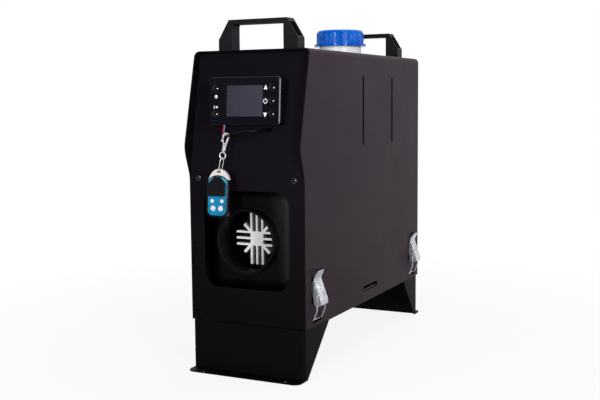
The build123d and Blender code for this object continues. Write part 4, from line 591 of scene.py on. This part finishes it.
def mark_outlines():
    """Closed outlines in mm from the middle of the fascia: x to the right, y up."""
    menu_rays = [arc_band(1.5, 0.9, k * 45 + 4, k * 45 + 41, 4) for k in range(8)]
    return {
        "mark_up": [[(25.3, 12.7), (29.9, 12.7), (27.6, 17.9)]],
        "mark_down": [[(25.3, -13.3), (27.6, -18.5), (29.9, -13.3)]],
        "mark_power": [
            moved(arc_band(2.35, 0.7, 120, 420), 27.6, -0.3),
            [(27.25, 0.4), (27.95, 0.4), (27.95, 2.9), (27.25, 2.9)],
        ],
        "mark_menu": [moved(ray, -36.0, 5.1) for ray in menu_rays] + [disc(-36.0, 5.1, 0.75)],
        "mark_set": [
            disc(-35.0, -6.9, 1.15),
            moved(arc_band(1.7, 0.6, 110, 250, 10), -37.0, -6.9),
            moved(arc_band(0.6, 0.5, 110, 250, 8), -36.9, -6.9),
        ],
    }


def make_mark(name, outlines, place, material):
    """Thin flat pieces from closed outlines, set on a plane given by a matrix."""
    mesh = bpy.data.meshes.new(name)
    work = bmesh.new()
    for outline in outlines:
        lower = [work.verts.new((x * MM, y * MM, -MARK_SINK * MM)) for x, y in outline]
        upper = [work.verts.new((x * MM, y * MM, MARK_RISE * MM)) for x, y in outline]
        work.faces.new(upper)
        work.faces.new(lower[::-1])
        for i in range(len(outline)):
            j = (i + 1) % len(outline)
            work.faces.new((lower[i], lower[j], upper[j], upper[i]))
    work.normal_update()
    work.to_mesh(mesh)
    work.free()
    mesh.materials.append(material)
    piece = bpy.data.objects.new(name, mesh)
    piece.matrix_world = place
    bpy.context.collection.objects.link(piece)
    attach(piece, "casing")


def make_marks(material):
    tilt = radians(FASCIA_TILT)
    right = Vector((1.0, 0.0, 0.0))
    out = Vector((0.0, -cos(tilt), sin(tilt)))
    up = Vector((0.0, sin(tilt), cos(tilt)))
    turn = Matrix((right, up, out)).transposed().to_4x4()
    face = Matrix.Translation(Vector(FASCIA_MIDDLE) * MM) @ turn
    for name, outlines in mark_outlines().items():
        make_mark(name, outlines, face, material)


# ---------------------------------------------------------------- surroundings
def make_floor():
    mesh = bpy.data.meshes.new("floor")
    work = bmesh.new()
    bmesh.ops.create_circle(work, cap_ends=True, radius=6.0, segments=96)
    work.to_mesh(mesh)
    work.free()
    floor = bpy.data.objects.new("floor", mesh)
    bpy.context.collection.objects.link(floor)
    mesh.materials.append(make_floor_material())


def make_floor_material():
    """Pale and matt, with the shadow near the object. Seen directly, it turns white further out.

    Reflections meet a white that is dimmer towards the front.
    """
    material = bpy.data.materials.new("pale_floor")
    material.use_nodes = True
    tree = material.node_tree
    tree.nodes.clear()
    place = object_place(tree)
    matt = add(tree, "ShaderNodeBsdfDiffuse")
    grey = blend_color(tree, noise(tree, place, 5.0), (0.6, 0.6, 0.6), (0.64, 0.64, 0.64))
    feed(tree, grey, matt.inputs["Color"])

    rays = add(tree, "ShaderNodeLightPath").outputs
    glossy = rays["Is Glossy Ray"]
    seen = calculate(tree, "ADD", rays["Is Camera Ray"], rays["Is Transmission Ray"], clamp=True)
    distance = add(tree, "ShaderNodeVectorMath", operation="LENGTH")
    feed(tree, place, distance.inputs[0])
    whiteness = ramp(tree, distance.outputs["Value"], 0.3, 0.7, 0.88, 1.0)
    share = calculate(
        tree, "ADD", calculate(tree, "MULTIPLY", seen, whiteness), glossy, clamp=True)
    towards_back = ramp(tree, split(tree, place)["Y"], -0.6, 0.5, 0.12, 0.9)
    reflected = calculate(tree, "MULTIPLY", glossy, towards_back)
    white = add(tree, "ShaderNodeEmission")
    feed(tree, calculate(tree, "MAXIMUM", seen, reflected), white.inputs["Strength"])

    mix = add(tree, "ShaderNodeMixShader")
    feed(tree, share, mix.inputs["Fac"])
    feed(tree, matt.outputs["BSDF"], mix.inputs[1])
    feed(tree, white.outputs["Emission"], mix.inputs[2])
    output = add(tree, "ShaderNodeOutputMaterial")
    feed(tree, mix.outputs["Shader"], output.inputs["Surface"])
    return material


def make_world():
    """White where it is seen directly or through a clear piece, and a soft light on matt faces.

    Reflections meet a room that is dim towards the front.
    """
    world = bpy.data.worlds.new("studio")
    bpy.context.scene.world = world
    world.use_nodes = True
    tree = world.node_tree
    backdrop = tree.nodes["Background"]
    feed(tree, (1.0, 1.0, 1.0), backdrop.inputs["Color"])
    direction = add(tree, "ShaderNodeTexCoord").outputs["Generated"]
    room = ramp(tree, split(tree, direction)["Y"], -0.4, 0.35, 0.1, 1.0)
    rays = add(tree, "ShaderNodeLightPath").outputs
    level = 0.0
    for ray, strength in (
        ("Is Camera Ray", 1.0), ("Is Transmission Ray", 1.0), ("Is Glossy Ray", room),
        ("Is Diffuse Ray", 0.42),
    ):
        level = calculate(
            tree, "MAXIMUM", level, calculate(tree, "MULTIPLY", rays[ray], strength))
    feed(tree, level, backdrop.inputs["Strength"])


def make_lamp(name, place, target, size, watts):
    data = bpy.data.lights.new(name, "AREA")
    data.shape = "RECTANGLE"
    data.size, data.size_y = size
    data.energy = watts
    lamp = bpy.data.objects.new(name, data)
    lamp.location = place
    aim = Vector(target) - Vector(place)
    lamp.rotation_euler = aim.to_track_quat("-Z", "Y").to_euler()
    bpy.context.collection.objects.link(lamp)


def main():
    bpy.context.scene.view_settings.view_transform = "Standard"
    make_camera()
    finishes = make_finishes()
    make_cords(finishes)
    for finish, names in DRESSED.items():
        dress(names, finishes[finish])
    make_marks(finishes["symbol"])
    make_floor()
    make_world()
    make_lamp("key", (1.75, -1.45, 0.75), target=(0.0, -0.1, 0.2), size=(0.5, 0.9), watts=34.0)
    make_lamp("front", (0.12, -2.4, 0.42), target=(0.0, 0.0, 0.25), size=(0.42, 0.42), watts=24.0)
    make_lamp("top", (0.2, 0.4, 2.2), target=(0.0, 0.0, 0.2), size=(1.6, 1.6), watts=26.0)


main()
